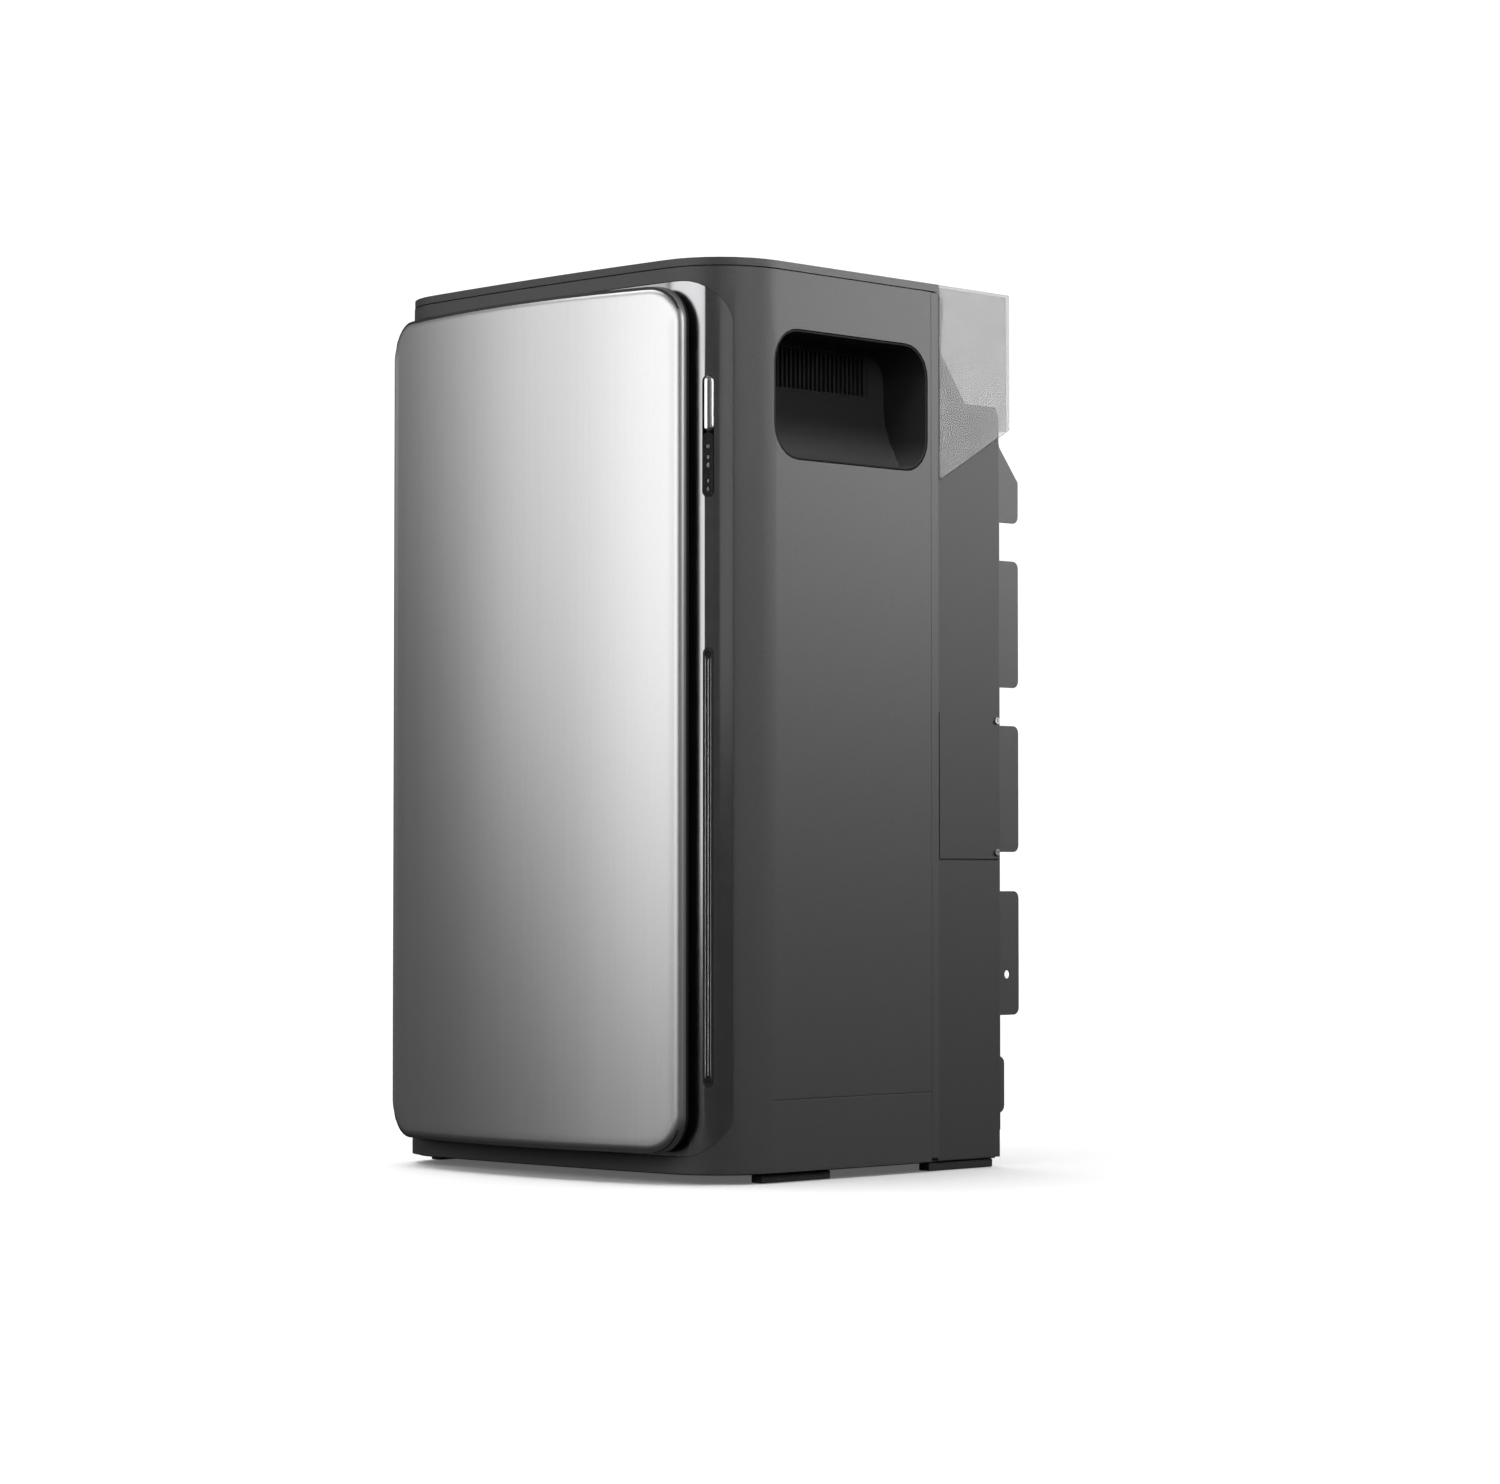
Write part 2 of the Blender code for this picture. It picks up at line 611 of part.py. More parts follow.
def make_fan_rotor(label, y):
    """Seven pitched blades on a hub, about an axis along X."""
    rotor = cylinder(f"fan_rotor_{label}", (0, 0, 0), 0.0115, 0.0135, "X", BLACK, sides=24)
    for turn in range(7):
        blade = box("blade", (-0.0050, -0.0006, 0.009), (0.0050, 0.0006, 0.0218), None, CUTTERS)
        apply_modifiers(blade)
        blade.data.transform(Matrix.Translation(blade.location))
        blade.data.transform(Matrix.Rotation(math.radians(38), 4, "Z"))
        blade.location = (0, 0, 0)
        blade.rotation_euler = (math.radians(360 * turn / 7), 0, 0)
        join(rotor, blade)
    rotor.location = (FAN_X + 0.0115, y, FAN_Z)
    return rotor


# ---------------------------------------------------------------- front panel


def panel_line(inset):
    """The panel's bowed outline in plan, with its two edges rolled back."""
    half = PANEL_HALF - inset
    roll = PANEL_ROLL - inset
    flat = half - roll
    points = []
    for i in range(CURVE_STEPS + 1):
        x = flat * i / CURVE_STEPS
        y = PANEL_MIDDLE_Y + (PANEL_EDGE_Y - PANEL_MIDDLE_Y) * (x / (PANEL_HALF - PANEL_ROLL)) ** 2 + inset
        points.append((x, y))
    edge_y = points[-1][1]
    points += arc(flat, edge_y + roll, roll, -90, 0, 6)[1:]
    return [(-x, y) for x, y in reversed(points[1:])] + points


def panel_block(name, inset, back, collection):
    line = panel_line(inset)
    return prism(name, [*line, (line[-1][0], back), (line[0][0], back)], PANEL_BOTTOM, PANEL_TOP, "XY", None, collection)


PANEL_BACK_Y = PANEL_EDGE_Y + PANEL_ROLL


def make_panel_skin():
    skin = panel_block("front_panel_skin", 0.0, PANEL_BACK_Y, PARTS)
    skin.data.materials.append(STEEL)
    cut(skin, panel_block("skin_inside", PANEL_THICKNESS, PANEL_BACK_Y + 0.1, CUTTERS))
    outline = rounded(-PANEL_HALF - 0.001, PANEL_HALF + 0.001, PANEL_BOTTOM, PANEL_TOP, PANEL_CORNER)
    boolean(skin, prism("skin_edge", outline, -1, 1, "XZ", None, CUTTERS), "INTERSECT")
    return smooth(skin)


def make_panel_frame():
    """The black tray behind the steel, with a socket at each corner for the fascia's pegs."""
    inset = PANEL_THICKNESS + GAP
    back = PANEL_BACK_Y + FRAME_DEPTH
    frame = panel_block("front_panel_frame", inset, back, PARTS)
    frame.data.materials.append(BLACK)
    rim = 0.016
    outline = rounded(-PANEL_HALF + 0.0022, PANEL_HALF - 0.0022, PANEL_BOTTOM + 0.0008, PANEL_TOP - 0.0008,
                      PANEL_CORNER - 0.001)
    boolean(frame, prism("frame_edge", outline, -1, 1, "XZ", None, CUTTERS), "INTERSECT")
    hollow = panel_block("frame_hollow", inset + 0.003, back + 0.1, CUTTERS)
    inner = rounded(-PANEL_HALF + rim, PANEL_HALF - rim, PANEL_BOTTOM + rim, PANEL_TOP - rim, PANEL_CORNER - 0.012)
    boolean(hollow, prism("hollow_edge", inner, -1, 1, "XZ", None, CUTTERS), "INTERSECT")
    cut(frame, hollow)
    for x, z in peg_places():
        front = panel_depth(x) + inset + 0.0040
        socket = cylinder("socket", (x, (front + back) / 2, z), 0.011, back - front, "Y", None, CUTTERS, 20)
        join(frame, socket)
        cut(frame, cylinder("socket_bore", (x, back, z), 0.0066, 0.024, "Y", None, CUTTERS, 20))
    return smooth(frame)


def panel_depth(x):
    return PANEL_MIDDLE_Y + (PANEL_EDGE_Y - PANEL_MIDDLE_Y) * (x / (PANEL_HALF - PANEL_ROLL)) ** 2


def peg_places():
    return [(sx * 0.165, z) for sx in (1, -1) for z in (PANEL_BOTTOM + 0.070, PANEL_TOP - 0.070)]


def fascia_depth(x):
    return FRONT_BULGE * (x / HALF_WIDTH) ** 2 - DEPTH_SHIFT + FASCIA_RECESS


def make_pegs():
    for (x, z), label in zip(peg_places(), ("right_lower", "right_upper", "left_lower", "left_upper")):
        root = fascia_depth(x) - GAP
        tip = PANEL_BACK_Y + FRAME_DEPTH - 0.0095
        peg = cylinder(f"panel_peg_{label}", (x, (root + tip) / 2, z), 0.0060, root - tip, "Y", BLACK, sides=20)
        join(peg, cylinder("collar", (x, root - 0.0011, z), 0.0095, 0.0020, "Y", None, CUTTERS, 20))


# ---------------------------------------------------------------- controls


def inner_piece(name, low, high, height, finish):
    """A block behind the corner of the fascia, given in the corner's own directions."""
    block = box(name, low, high, finish)
    block.data.transform(Matrix.Translation(block.location))
    return on_corner(block, 0.0, height)


def make_controls():
    button_height = BUTTON_TOP - BUTTON_BOTTOM
    clear = 0.0005
    button = pill("power_button", PILL_WIDTH - 2 * clear, button_height - clear, -0.0016, 0.0060, CHROME)
    add_bevel(button, 0.0016, 3)
    on_corner(button, 0.0, (BUTTON_TOP + BUTTON_BOTTOM) / 2 - clear / 2)
    pill_height = BUTTON_BOTTOM - PILL_BOTTOM - 0.0008
    lens = pill("indicator_lens", PILL_WIDTH - 2 * clear, pill_height, -0.0002, 0.0040, GLOSS)
    on_corner(lens, -0.0006, PILL_BOTTOM + pill_height / 2)
    apply_modifiers(lens)
    span = BUTTON_TOP - PILL_BOTTOM
    inner_piece("control_housing", (-0.0120, 0.0100, 0), (0.0120, 0.0150, span + 0.01), PILL_BOTTOM - 0.005, BLACK)
    inner_piece("control_board", (-0.0180, 0.0154, 0), (0.0180, 0.0170, span + 0.03), PILL_BOTTOM - 0.015, BOARD)
    switch = cylinder("button_switch", (0, 0, 0), 0.0034, 0.0018, "Y", ZINC, sides=16)
    apply_modifiers(switch)
    switch.data.transform(Matrix.Translation((0, 0.0087, 0)))
    on_corner(switch, 0.0, (BUTTON_TOP + BUTTON_BOTTOM) / 2)
    light_height = LIGHT_TOP - LIGHT_BOTTOM
    bezel = pill("light_bar_bezel", LIGHT_WIDTH - 0.0008, light_height - 0.0008, -0.0004, 0.0040, CHROME)
    on_corner(bezel, -0.0008, (LIGHT_TOP + LIGHT_BOTTOM) / 2)
    groove = pill("groove", 0.0066, light_height - 0.0060, -0.02, 0.02, None, CUTTERS)
    on_corner(groove, 0.0, (LIGHT_TOP + LIGHT_BOTTOM) / 2)
    cut(bezel, groove)
    lens_bar = pill("light_bar_lens", 0.0058, light_height - 0.0068, 0.0006, 0.0060, LENS)
    on_corner(lens_bar, -0.0008, (LIGHT_TOP + LIGHT_BOTTOM) / 2)


# ---------------------------------------------------------------- inside


MODULE_COUNT = 4
MODULE_PITCH = 0.1445
MODULE_HEIGHT = 0.1441
MODULE_BOTTOM = CASE_BOTTOM + 0.0034
MODULE_FRONT = 0.030 - DEPTH_SHIFT
MODULE_BACK = 0.300 - DEPTH_SHIFT
MODULE_HALF = 0.225


def make_battery():
    """Stacked modules on the base tray, with a copper bar down each side at the back."""
    for i in range(MODULE_COUNT):
        low = MODULE_BOTTOM + i * MODULE_PITCH
        module = box(f"battery_module_{i + 1}", (-MODULE_HALF, MODULE_FRONT, low), (MODULE_HALF, MODULE_BACK, low + MODULE_HEIGHT),
                     MODULE, bevel=0.003)
        apply_modifiers(module)
        for side in (1, -1):
            lug = box("lug", (side * 0.170 - 0.012, MODULE_BACK - 0.002, low + 0.058),
                      (side * 0.170 + 0.012, MODULE_BACK + 0.004, low + 0.082), None, CUTTERS)
            join(module, lug)
    top = MODULE_BOTTOM + (MODULE_COUNT - 1) * MODULE_PITCH + 0.100
    for side, label in ((1, "positive"), (-1, "negative")):
        box(f"busbar_{label}", (side * 0.170 - 0.008, MODULE_BACK + 0.0044, MODULE_BOTTOM + 0.040),
            (side * 0.170 + 0.008, MODULE_BACK + 0.0074, top), COPPER)
    face = REAR_Y - 0.0020 - GAP
    board = box("battery_management_board", (-0.120, face - 0.0018, MODULE_BOTTOM + 0.100),
                (0.120, face, MODULE_BOTTOM + 0.420), BOARD)
    for x, z in ((-0.07, 0.16), (0.0, 0.22), (0.06, 0.32), (-0.05, 0.36)):
        chip = box("chip", (x - 0.014, face - 0.0070, MODULE_BOTTOM + z - 0.012),
                   (x + 0.014, face - 0.0010, MODULE_BOTTOM + z + 0.012), None, CUTTERS)
        join(board, chip)


def make_inverter():
    """Power board, finned heat sink across the air path, and the parts on the board."""
    low = MODULE_BOTTOM + MODULE_COUNT * MODULE_PITCH
    board_z = SCOOP_TOP - GRILLE_HEIGHT - 0.038
    front, back = SCOOP_FRONT + 0.024, SCOOP_BACK - 0.028
    sink_low = SCOOP_TOP - GRILLE_HEIGHT - 0.012
    tray = box("inverter_tray", (-0.180, front, low + GAP), (0.180, back, low + 0.0024), ZINC)
    for y in (front, back - 0.002):
        join(tray, box("tray_wall", (-0.150, y, low + 0.001), (0.150, y + 0.002, sink_low - GAP), None, CUTTERS))
    half = 0.130
    sink = box("inverter_heat_sink", (-half, front, sink_low), (half, back, sink_low + 0.008), ALUMINIUM)
    fins = 14
    pitch = (back - front - 0.003) / (fins - 1)
    for i in range(fins):
        y = front + i * pitch
        join(sink, box("fin", (-half, y, sink_low + 0.006), (half, y + 0.003, SCOOP_TOP - 0.008), None, CUTTERS))
    box("inverter_board", (-half - 0.01, front + 0.003, board_z), (half + 0.01, back - 0.003, board_z + 0.0018), BOARD)
    bank = box("capacitor_bank", (-0.110, front + 0.01, board_z - 0.0044), (0.0, front + 0.06, board_z - GAP), BLACK)
    for i in range(3):
        join(bank, cylinder("can", (-0.090 + 0.035 * i, front + 0.035, board_z - 0.0210), 0.0155, 0.038, "Z", None,
                            CUTTERS, 20))
    for label, x in (("a", 0.045), ("b", 0.100)):
        coil = cylinder(f"inductor_{label}", (x, front + 0.045, board_z - 0.0125), 0.0220, 0.024, "Z", COPPER, sides=24)
        cut(coil, cylinder("core_hole", (x, front + 0.045, board_z - 0.0125), 0.0090, 0.1, "Z", None, CUTTERS, 16))


# ---------------------------------------------------------------- wiring bay under the rear cover


DECK_Z = TOP - DECK_DROP
BREAKER_PIVOT = Vector((0.130, REAR_Y - 0.0330, DECK_Z + 0.0420))


def make_cable_cover():
    """The smoked cover over the wiring deck, open below and in front, with a post down to the deck."""
    half = HALF_WIDTH - 0.0006

    def profile(inset):
        low = 0.0 if inset == 0 else 0.2
        front = HOOD_FRONT_Y if inset == 0 else HOOD_FRONT_Y - 0.1
        return [
            (front, TOP - inset), (HOOD_REAR_Y - inset, TOP - inset), (HOOD_REAR_Y - inset, HOOD_LOW_REAR - low),
            (HOOD_FRONT_Y + 0.002, HOOD_LOW_FRONT - low), (front, HOOD_LOW_FRONT + 0.004 - low),
        ]

    cover = prism("cable_cover", profile(0.0), -half, half, "YZ", SMOKED)
    inside = prism("cover_inside", profile(HOOD_WALL), -half + HOOD_WALL, half - HOOD_WALL, "YZ", None, CUTTERS)
    cut(cover, inside)
    for side in (1, -1):
        post = cylinder("post", (side * 0.215, REAR_Y - 0.0470, (TOP + DECK_Z) / 2 + 0.004), 0.0055,
                        TOP - DECK_Z - 0.012, "Z", None, CUTTERS, 16, 0.0105)
        join(cover, post)
    return smooth(cover, 30)


def make_wiring():
    block = box("terminal_block", (-0.060, REAR_Y - 0.0540, DECK_Z + GAP), (0.070, REAR_Y - 0.0280, DECK_Z + 0.026), MODULE,
                bevel=0.0008)
    apply_modifiers(block)
    for i in range(6):
        x = -0.050 + 0.022 * i
        cut(block, box("way", (x, REAR_Y - 0.0600, DECK_Z + 0.008), (x + 0.012, REAR_Y - 0.0380, DECK_Z + 0.04), None,
                       CUTTERS))
    pivot = BREAKER_PIVOT
    breaker = box("breaker_body", (pivot.x - 0.018, pivot.y - 0.018, DECK_Z + GAP), (pivot.x + 0.018, pivot.y + 0.018,
                  pivot.z), MODULE, bevel=0.001)
    apply_modifiers(breaker)
    cut(breaker, cylinder("pocket", (pivot.x, pivot.y, pivot.z - 0.0010), 0.0088, 0.0140, "X", None, CUTTERS, 24))
    lever = cylinder("breaker_lever", (0, 0, 0), 0.0080, 0.0120, "X", CHROME, sides=24)
    arm = box("arm", (-0.0055, -0.0025, 0.004), (0.0055, 0.0025, 0.022), None, CUTTERS, bevel=0.001)
    arm.rotation_euler = (math.radians(-40), 0, 0)
    arm.location = Matrix.Rotation(math.radians(-40), 3, "X") @ Vector((0, 0, 0.013))
    join(lever, arm)
    lever.location = (pivot.x, pivot.y, pivot.z - 0.0010)
    lever.data.materials.clear()
    lever.data.materials.append(BLACK)
    for label, x in (("a", -0.15), ("b", -0.11)):
        y = REAR_Y - 0.040
        gland = cylinder(f"cable_gland_{label}", (x, y, DECK_Z + 0.0045), 0.0130, 0.0080, "Z", BLACK, sides=6)
        join(gland, cylinder("stem", (x, y, DECK_Z - 0.004), 0.0080, 0.0200, "Z", None, CUTTERS, 20))
        join(gland, cylinder("dome", (x, y, DECK_Z + 0.0125), 0.0105, 0.0090, "Z", None, CUTTERS, 20, 0.0080))
        cut(gland, cylinder("way", (x, y, DECK_Z), 0.0052, 0.1, "Z", None, CUTTERS, 16))


def main():
    make_casing()
    make_lid()
    make_base()
    make_fascia()
    make_seam_frame()
    make_chassis()
    make_access_cover()
    make_cover_screws()
    mirrored_pair("wall_bracket", make_wall_bracket)
    make_bracket_bolts()
    make_feet()
    mirrored_pair("vent_scoop", make_scoop)
    mirrored_pair("vent_grille", make_grille)
    for label, y in FAN_YS.items():
        make_fan_frame(label, y)
        make_fan_rotor(label, y)
    make_panel_skin()
    make_panel_frame()
    make_pegs()
    make_controls()
    make_battery()
    make_inverter()
    make_cable_cover()
    make_wiring()


main()
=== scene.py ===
"""Home energy storage cabinet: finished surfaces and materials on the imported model."""

import json
import math

import bmesh
import bpy
import numpy as np
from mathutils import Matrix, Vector

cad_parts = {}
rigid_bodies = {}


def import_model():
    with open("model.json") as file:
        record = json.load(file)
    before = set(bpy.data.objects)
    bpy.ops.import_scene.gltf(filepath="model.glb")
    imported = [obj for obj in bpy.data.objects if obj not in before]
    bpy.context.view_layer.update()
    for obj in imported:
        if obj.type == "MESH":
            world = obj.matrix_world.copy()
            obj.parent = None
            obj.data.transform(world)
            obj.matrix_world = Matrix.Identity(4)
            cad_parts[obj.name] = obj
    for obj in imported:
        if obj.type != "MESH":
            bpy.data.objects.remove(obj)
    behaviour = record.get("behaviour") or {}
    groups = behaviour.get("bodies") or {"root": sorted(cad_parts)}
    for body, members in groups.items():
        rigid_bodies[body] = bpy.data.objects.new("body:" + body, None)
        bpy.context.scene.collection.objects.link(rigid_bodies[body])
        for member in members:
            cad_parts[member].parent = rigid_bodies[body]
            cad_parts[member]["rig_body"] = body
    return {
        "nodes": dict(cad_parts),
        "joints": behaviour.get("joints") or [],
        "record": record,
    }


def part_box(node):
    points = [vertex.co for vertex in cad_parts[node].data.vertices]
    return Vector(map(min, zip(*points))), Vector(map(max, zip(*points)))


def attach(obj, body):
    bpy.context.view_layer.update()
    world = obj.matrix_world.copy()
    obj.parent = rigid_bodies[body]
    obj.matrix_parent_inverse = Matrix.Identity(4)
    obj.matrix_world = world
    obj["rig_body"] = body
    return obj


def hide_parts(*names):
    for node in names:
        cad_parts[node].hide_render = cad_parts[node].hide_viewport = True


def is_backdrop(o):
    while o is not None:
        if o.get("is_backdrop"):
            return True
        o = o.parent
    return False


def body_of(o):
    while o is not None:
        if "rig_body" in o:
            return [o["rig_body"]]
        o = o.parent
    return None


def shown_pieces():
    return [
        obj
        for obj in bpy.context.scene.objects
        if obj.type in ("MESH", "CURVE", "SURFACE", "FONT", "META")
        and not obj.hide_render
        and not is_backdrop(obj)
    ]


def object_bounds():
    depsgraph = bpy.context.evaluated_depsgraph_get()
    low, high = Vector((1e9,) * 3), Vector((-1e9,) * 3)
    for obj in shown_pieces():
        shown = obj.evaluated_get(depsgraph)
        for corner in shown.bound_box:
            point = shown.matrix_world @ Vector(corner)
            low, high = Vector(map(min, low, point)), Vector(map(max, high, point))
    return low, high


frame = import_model()
CAD_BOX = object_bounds()

bl_info = {
    "name": "Home Energy Storage Cabinet",
    "version": (1, 0, 0),
    "blender": (4, 5, 0),
    "location": "View3D > Sidebar > Cabinet",
    "description": "Finishes a floor-standing battery and inverter cabinet piece by piece",
    "category": "Add Mesh",
}

NODES = frame["nodes"]
BODY_OF = {node: body for body, nodes in frame["record"]["behaviour"]["bodies"].items() for node in nodes}
SLOT_OF = {part["node"]: part["material_slot"] for part in frame["record"]["subparts"]}
FLOOR_Z = CAD_BOX[0].z


# ---------------------------------------------------------------- what a user may change


def length(name, text, default):
    """A length in metres that the sidebar shows."""
    return bpy.props.FloatProperty(
        name=name,
        description=text,
        default=default,
        min=0.0,
        max=0.2,
        subtype="DISTANCE",
        unit="LENGTH",
        precision=4,
    )


def tint(name, text, default):
    """A colour that the sidebar shows."""
    return bpy.props.FloatVectorProperty(
        name=name, description=text, default=default, size=3, min=0.0, max=1.0, subtype="COLOR"
    )


class CabinetSizes(bpy.types.PropertyGroup):
    """Sizes of the finished pieces."""

    panel_corner: length("Panel corner", "Radius of the steel front's four corners", 0.042)
    panel_roll: length("Panel roll", "Radius that the steel front's edge is rolled to", 0.010)
    case_edge: length("Case edge", "How far the painted case's sharp edges are eased", 0.0008)
    button_dome: length("Button dome", "Height of the power button's crown", 0.0022)
    sign_size: length("Sign size", "Half width of an indicator sign", 0.0017)
    light_rod: length("Light rod", "Radius of the bright rods in the light bar", 0.00045)
    post_top: length("Post top", "Radius of the cover's posts at the top", 0.0107)


class CabinetColours(bpy.types.PropertyGroup):
    """Colours of the main finishes."""

    powder: tint("Powder coat", "Textured paint of the case", (0.066, 0.066, 0.067))
    chassis: tint("Chassis paint", "Flat paint of the rear chassis", (0.052, 0.052, 0.053))
    steel: tint("Brushed steel", "The removable front", (0.60, 0.60, 0.605))
    mirror: tint("Black mirror", "The glossy surround of the front", (0.34, 0.34, 0.345))
    smoke: tint("Smoked cover", "The see-through cable cover", (0.07, 0.07, 0.072))
    floor: tint("Floor", "The studio floor", (0.8, 0.8, 0.8))
    cover_strength: bpy.props.FloatProperty(
        name="Cover strength",
        description="How much the smoked cover hides",
        default=0.35,
        min=0.05,
        max=1.0,
        subtype="FACTOR",
    )


def sizes():
    """The scene's sizes."""
    return bpy.context.scene.cabinet_sizes


def colours():
    """The scene's colours."""
    return bpy.context.scene.cabinet_colours


# ---------------------------------------------------------------- shader building


class Amount:
    """A shader value that takes part in ordinary arithmetic, each step adding its Math node."""

    def __init__(self, nodes, socket):
        self.nodes = nodes
        self.socket = socket

    def combine(self, operation, first, second):
        return self.nodes.node("ShaderNodeMath", {"operation": operation}, {0: first, 1: second})

    def __add__(self, other):
        return self.combine("ADD", self, other)

    def __radd__(self, other):
        return self.combine("ADD", other, self)

    def __mul__(self, other):
        return self.combine("MULTIPLY", self, other)

    def __rmul__(self, other):
        return self.combine("MULTIPLY", other, self)


class NodeTree:
    """A node tree. Every node added to it comes from node()."""

    def __init__(self, tree):
        self.tree = tree

    def fill(self, socket, value):
        """Links a socket to an Amount, or gives it a plain value."""
        if isinstance(value, Amount):
            self.tree.links.new(value.socket, socket)
        else:
            socket.default_value = value

    def node(self, kind, settings=None, inputs=None, output=0):
        """Adds a node, makes its settings first and then fills its sockets with values or links."""
        made = self.tree.nodes.new(kind)
        for name, value in (settings or {}).items():
            setattr(made, name, value)
        for name, value in (inputs or {}).items():
            self.fill(made.inputs[name], value)
        return Amount(self, made.outputs[output])


class Finish(NodeTree):
    """One material: a Principled shader, with constants on its sockets and patterns fed to a few of them."""

    def __init__(self, name, colour, **constants):
        self.material = bpy.data.materials.new(name)
        self.material.use_nodes = True
        super().__init__(self.material.node_tree)
        self.shader = self.tree.nodes["Principled BSDF"]
        self.colour = colour
        self.shader.inputs["Base Color"].default_value = (*colour, 1.0)
        for socket, value in constants.items():
            self.shader.inputs[socket.replace("_", " ")].default_value = value

    def feed(self, name, value):
        """Fills one of the shader's own sockets."""
        self.fill(self.shader.inputs[name], value)

    def place(self, scale):
        """The piece's own coordinates in metres, stretched by scale."""
        where = self.node("ShaderNodeTexCoord", output="Object")
        return self.node("ShaderNodeMapping", None, {"Vector": where, "Scale": scale})

    def noise(self, scale, detail, roughness=0.5, stretch=(1.0, 1.0, 1.0)):
        """Fine cloudy variation from 0 to 1. A larger scale is finer."""
        inputs = {"Vector": self.place(stretch), "Scale": scale, "Detail": detail, "Roughness": roughness}
        return self.node("ShaderNodeTexNoise", None, inputs)

    def shade_between(self, amount, dark, light):
        """A colour between two, by an amount from 0 to 1."""
        inputs = {0: amount, 6: (*dark, 1.0), 7: (*light, 1.0)}
        return self.node("ShaderNodeMix", {"data_type": "RGBA"}, inputs, output=2)

    def spread(self, amount, by):
        """Varies the base colour up and down by a share of itself."""
        dark = [c * (1 - by) for c in self.colour]
        light = [c * (1 + by) for c in self.colour]
        self.feed("Base Color", self.shade_between(amount, dark, light))

    def bump(self, height, depth, strength):
        """Raises the surface by depth, in metres, where height is 1."""
        inputs = {"Height": height, "Distance": depth, "Strength": strength}
        self.feed("Normal", self.node("ShaderNodeBump", None, inputs))


def powder_coat():
    made = Finish("powder coat", colours().powder, Roughness=0.5, Metallic=0.3)
    grain = made.noise(scale=640, detail=3.0, roughness=0.7)
    fine = made.noise(scale=1600, detail=2.0)
    made.spread(grain * 0.7 + fine * 0.3, by=0.45)
    made.feed("Roughness", 0.44 + grain * 0.16)
    made.bump(grain * 0.6 + fine * 0.4, depth=0.0003, strength=0.5)
    return made.material


def chassis_coat():
    made = Finish("flat chassis paint", colours().chassis, Roughness=0.55, Metallic=0.3)
    grain = made.noise(scale=640, detail=3.0, roughness=0.7)
    made.spread(grain, by=0.3)
    made.feed("Roughness", 0.5 + grain * 0.14)
    made.bump(grain, depth=0.0002, strength=0.4)
    return made.material


def brushed_steel():
    made = Finish("brushed stainless steel", colours().steel, Metallic=1.0, Roughness=0.34)
    lines = made.noise(scale=1.0, detail=4.0, roughness=0.6, stretch=(1700.0, 1700.0, 22.0))
    broad = made.noise(scale=1.0, detail=2.0, roughness=0.5, stretch=(240.0, 240.0, 3.0))
    speck = made.noise(scale=620, detail=3.0, roughness=0.7)
    made.spread(lines * 0.4 + broad * 0.2 + speck * 0.4, by=0.16)
    made.feed("Roughness", 0.33 + lines * 0.08 + broad * 0.05)
    made.bump(lines * 0.5 + speck * 0.5, depth=0.00008, strength=0.4)
    return made.material


def gloss_black():
    made = Finish("black mirror", colours().mirror, Metallic=1.0, Roughness=0.18)
    haze = made.noise(scale=60, detail=4.0)
    made.spread(haze, by=0.06)
    made.feed("Roughness", 0.15 + haze * 0.06)
    return made.material


def dark_window():
    made = Finish("dark window", (0.02, 0.02, 0.021), Roughness=0.15, Coat_Weight=0.5)
    haze = made.noise(scale=300, detail=3.0)
    made.spread(haze, by=0.2)
    made.feed("Roughness", 0.12 + haze * 0.08)
    return made.material


def matte_black():
    made = Finish("matte black moulding", (0.016, 0.016, 0.017), Roughness=0.55)
    grain = made.noise(scale=1800, detail=3.0)
    made.spread(grain, by=0.25)
    made.feed("Roughness", 0.46 + grain * 0.16)
    made.bump(grain, depth=0.0001, strength=0.4)
    return made.material


def smoked_cover():
    made = Finish("smoked polycarbonate", colours().smoke, Roughness=0.22, Alpha=colours().cover_strength)
    haze = made.noise(scale=35, detail=4.0)
    made.spread(haze, by=0.12)
    made.feed("Roughness", 0.14 + haze * 0.12)
    return made.material


def smoked_post():
    made = Finish("thick smoked polycarbonate", colours().smoke, Roughness=0.25, Alpha=0.42)
    haze = made.noise(scale=35, detail=4.0)
    made.spread(haze, by=0.12)
    made.feed("Roughness", 0.2 + haze * 0.1)
    return made.material


def polished_metal():
    made = Finish("polished metal", (0.72, 0.72, 0.73), Metallic=1.0, Roughness=0.12)
    lines = made.noise(scale=1.0, detail=3.0, roughness=0.5, stretch=(2000.0, 2000.0, 60.0))
    made.spread(lines, by=0.05)
    made.feed("Roughness", 0.10 + lines * 0.08)
    return made.material


def aluminium():
    made = Finish("extruded aluminium", (0.62, 0.63, 0.64), Metallic=1.0, Roughness=0.4)
    lines = made.noise(scale=1.0, detail=3.0, roughness=0.5, stretch=(30.0, 1500.0, 1500.0))
    made.spread(lines, by=0.1)
    made.feed("Roughness", 0.34 + lines * 0.14)
    return made.material


def copper():
    made = Finish("copper", (0.72, 0.40, 0.26), Metallic=1.0, Roughness=0.3)
    tarnish = made.noise(scale=40, detail=5.0)
    made.spread(tarnish, by=0.2)
    made.feed("Roughness", 0.24 + tarnish * 0.16)
    return made.material


def circuit_board():
    made = Finish("circuit board", (0.02, 0.13, 0.06), Roughness=0.45, Coat_Weight=0.3)
    tracks = made.noise(scale=160, detail=2.0, roughness=0.4)
    made.spread(tracks, by=0.4)
    made.feed("Roughness", 0.38 + tracks * 0.12)
    return made.material


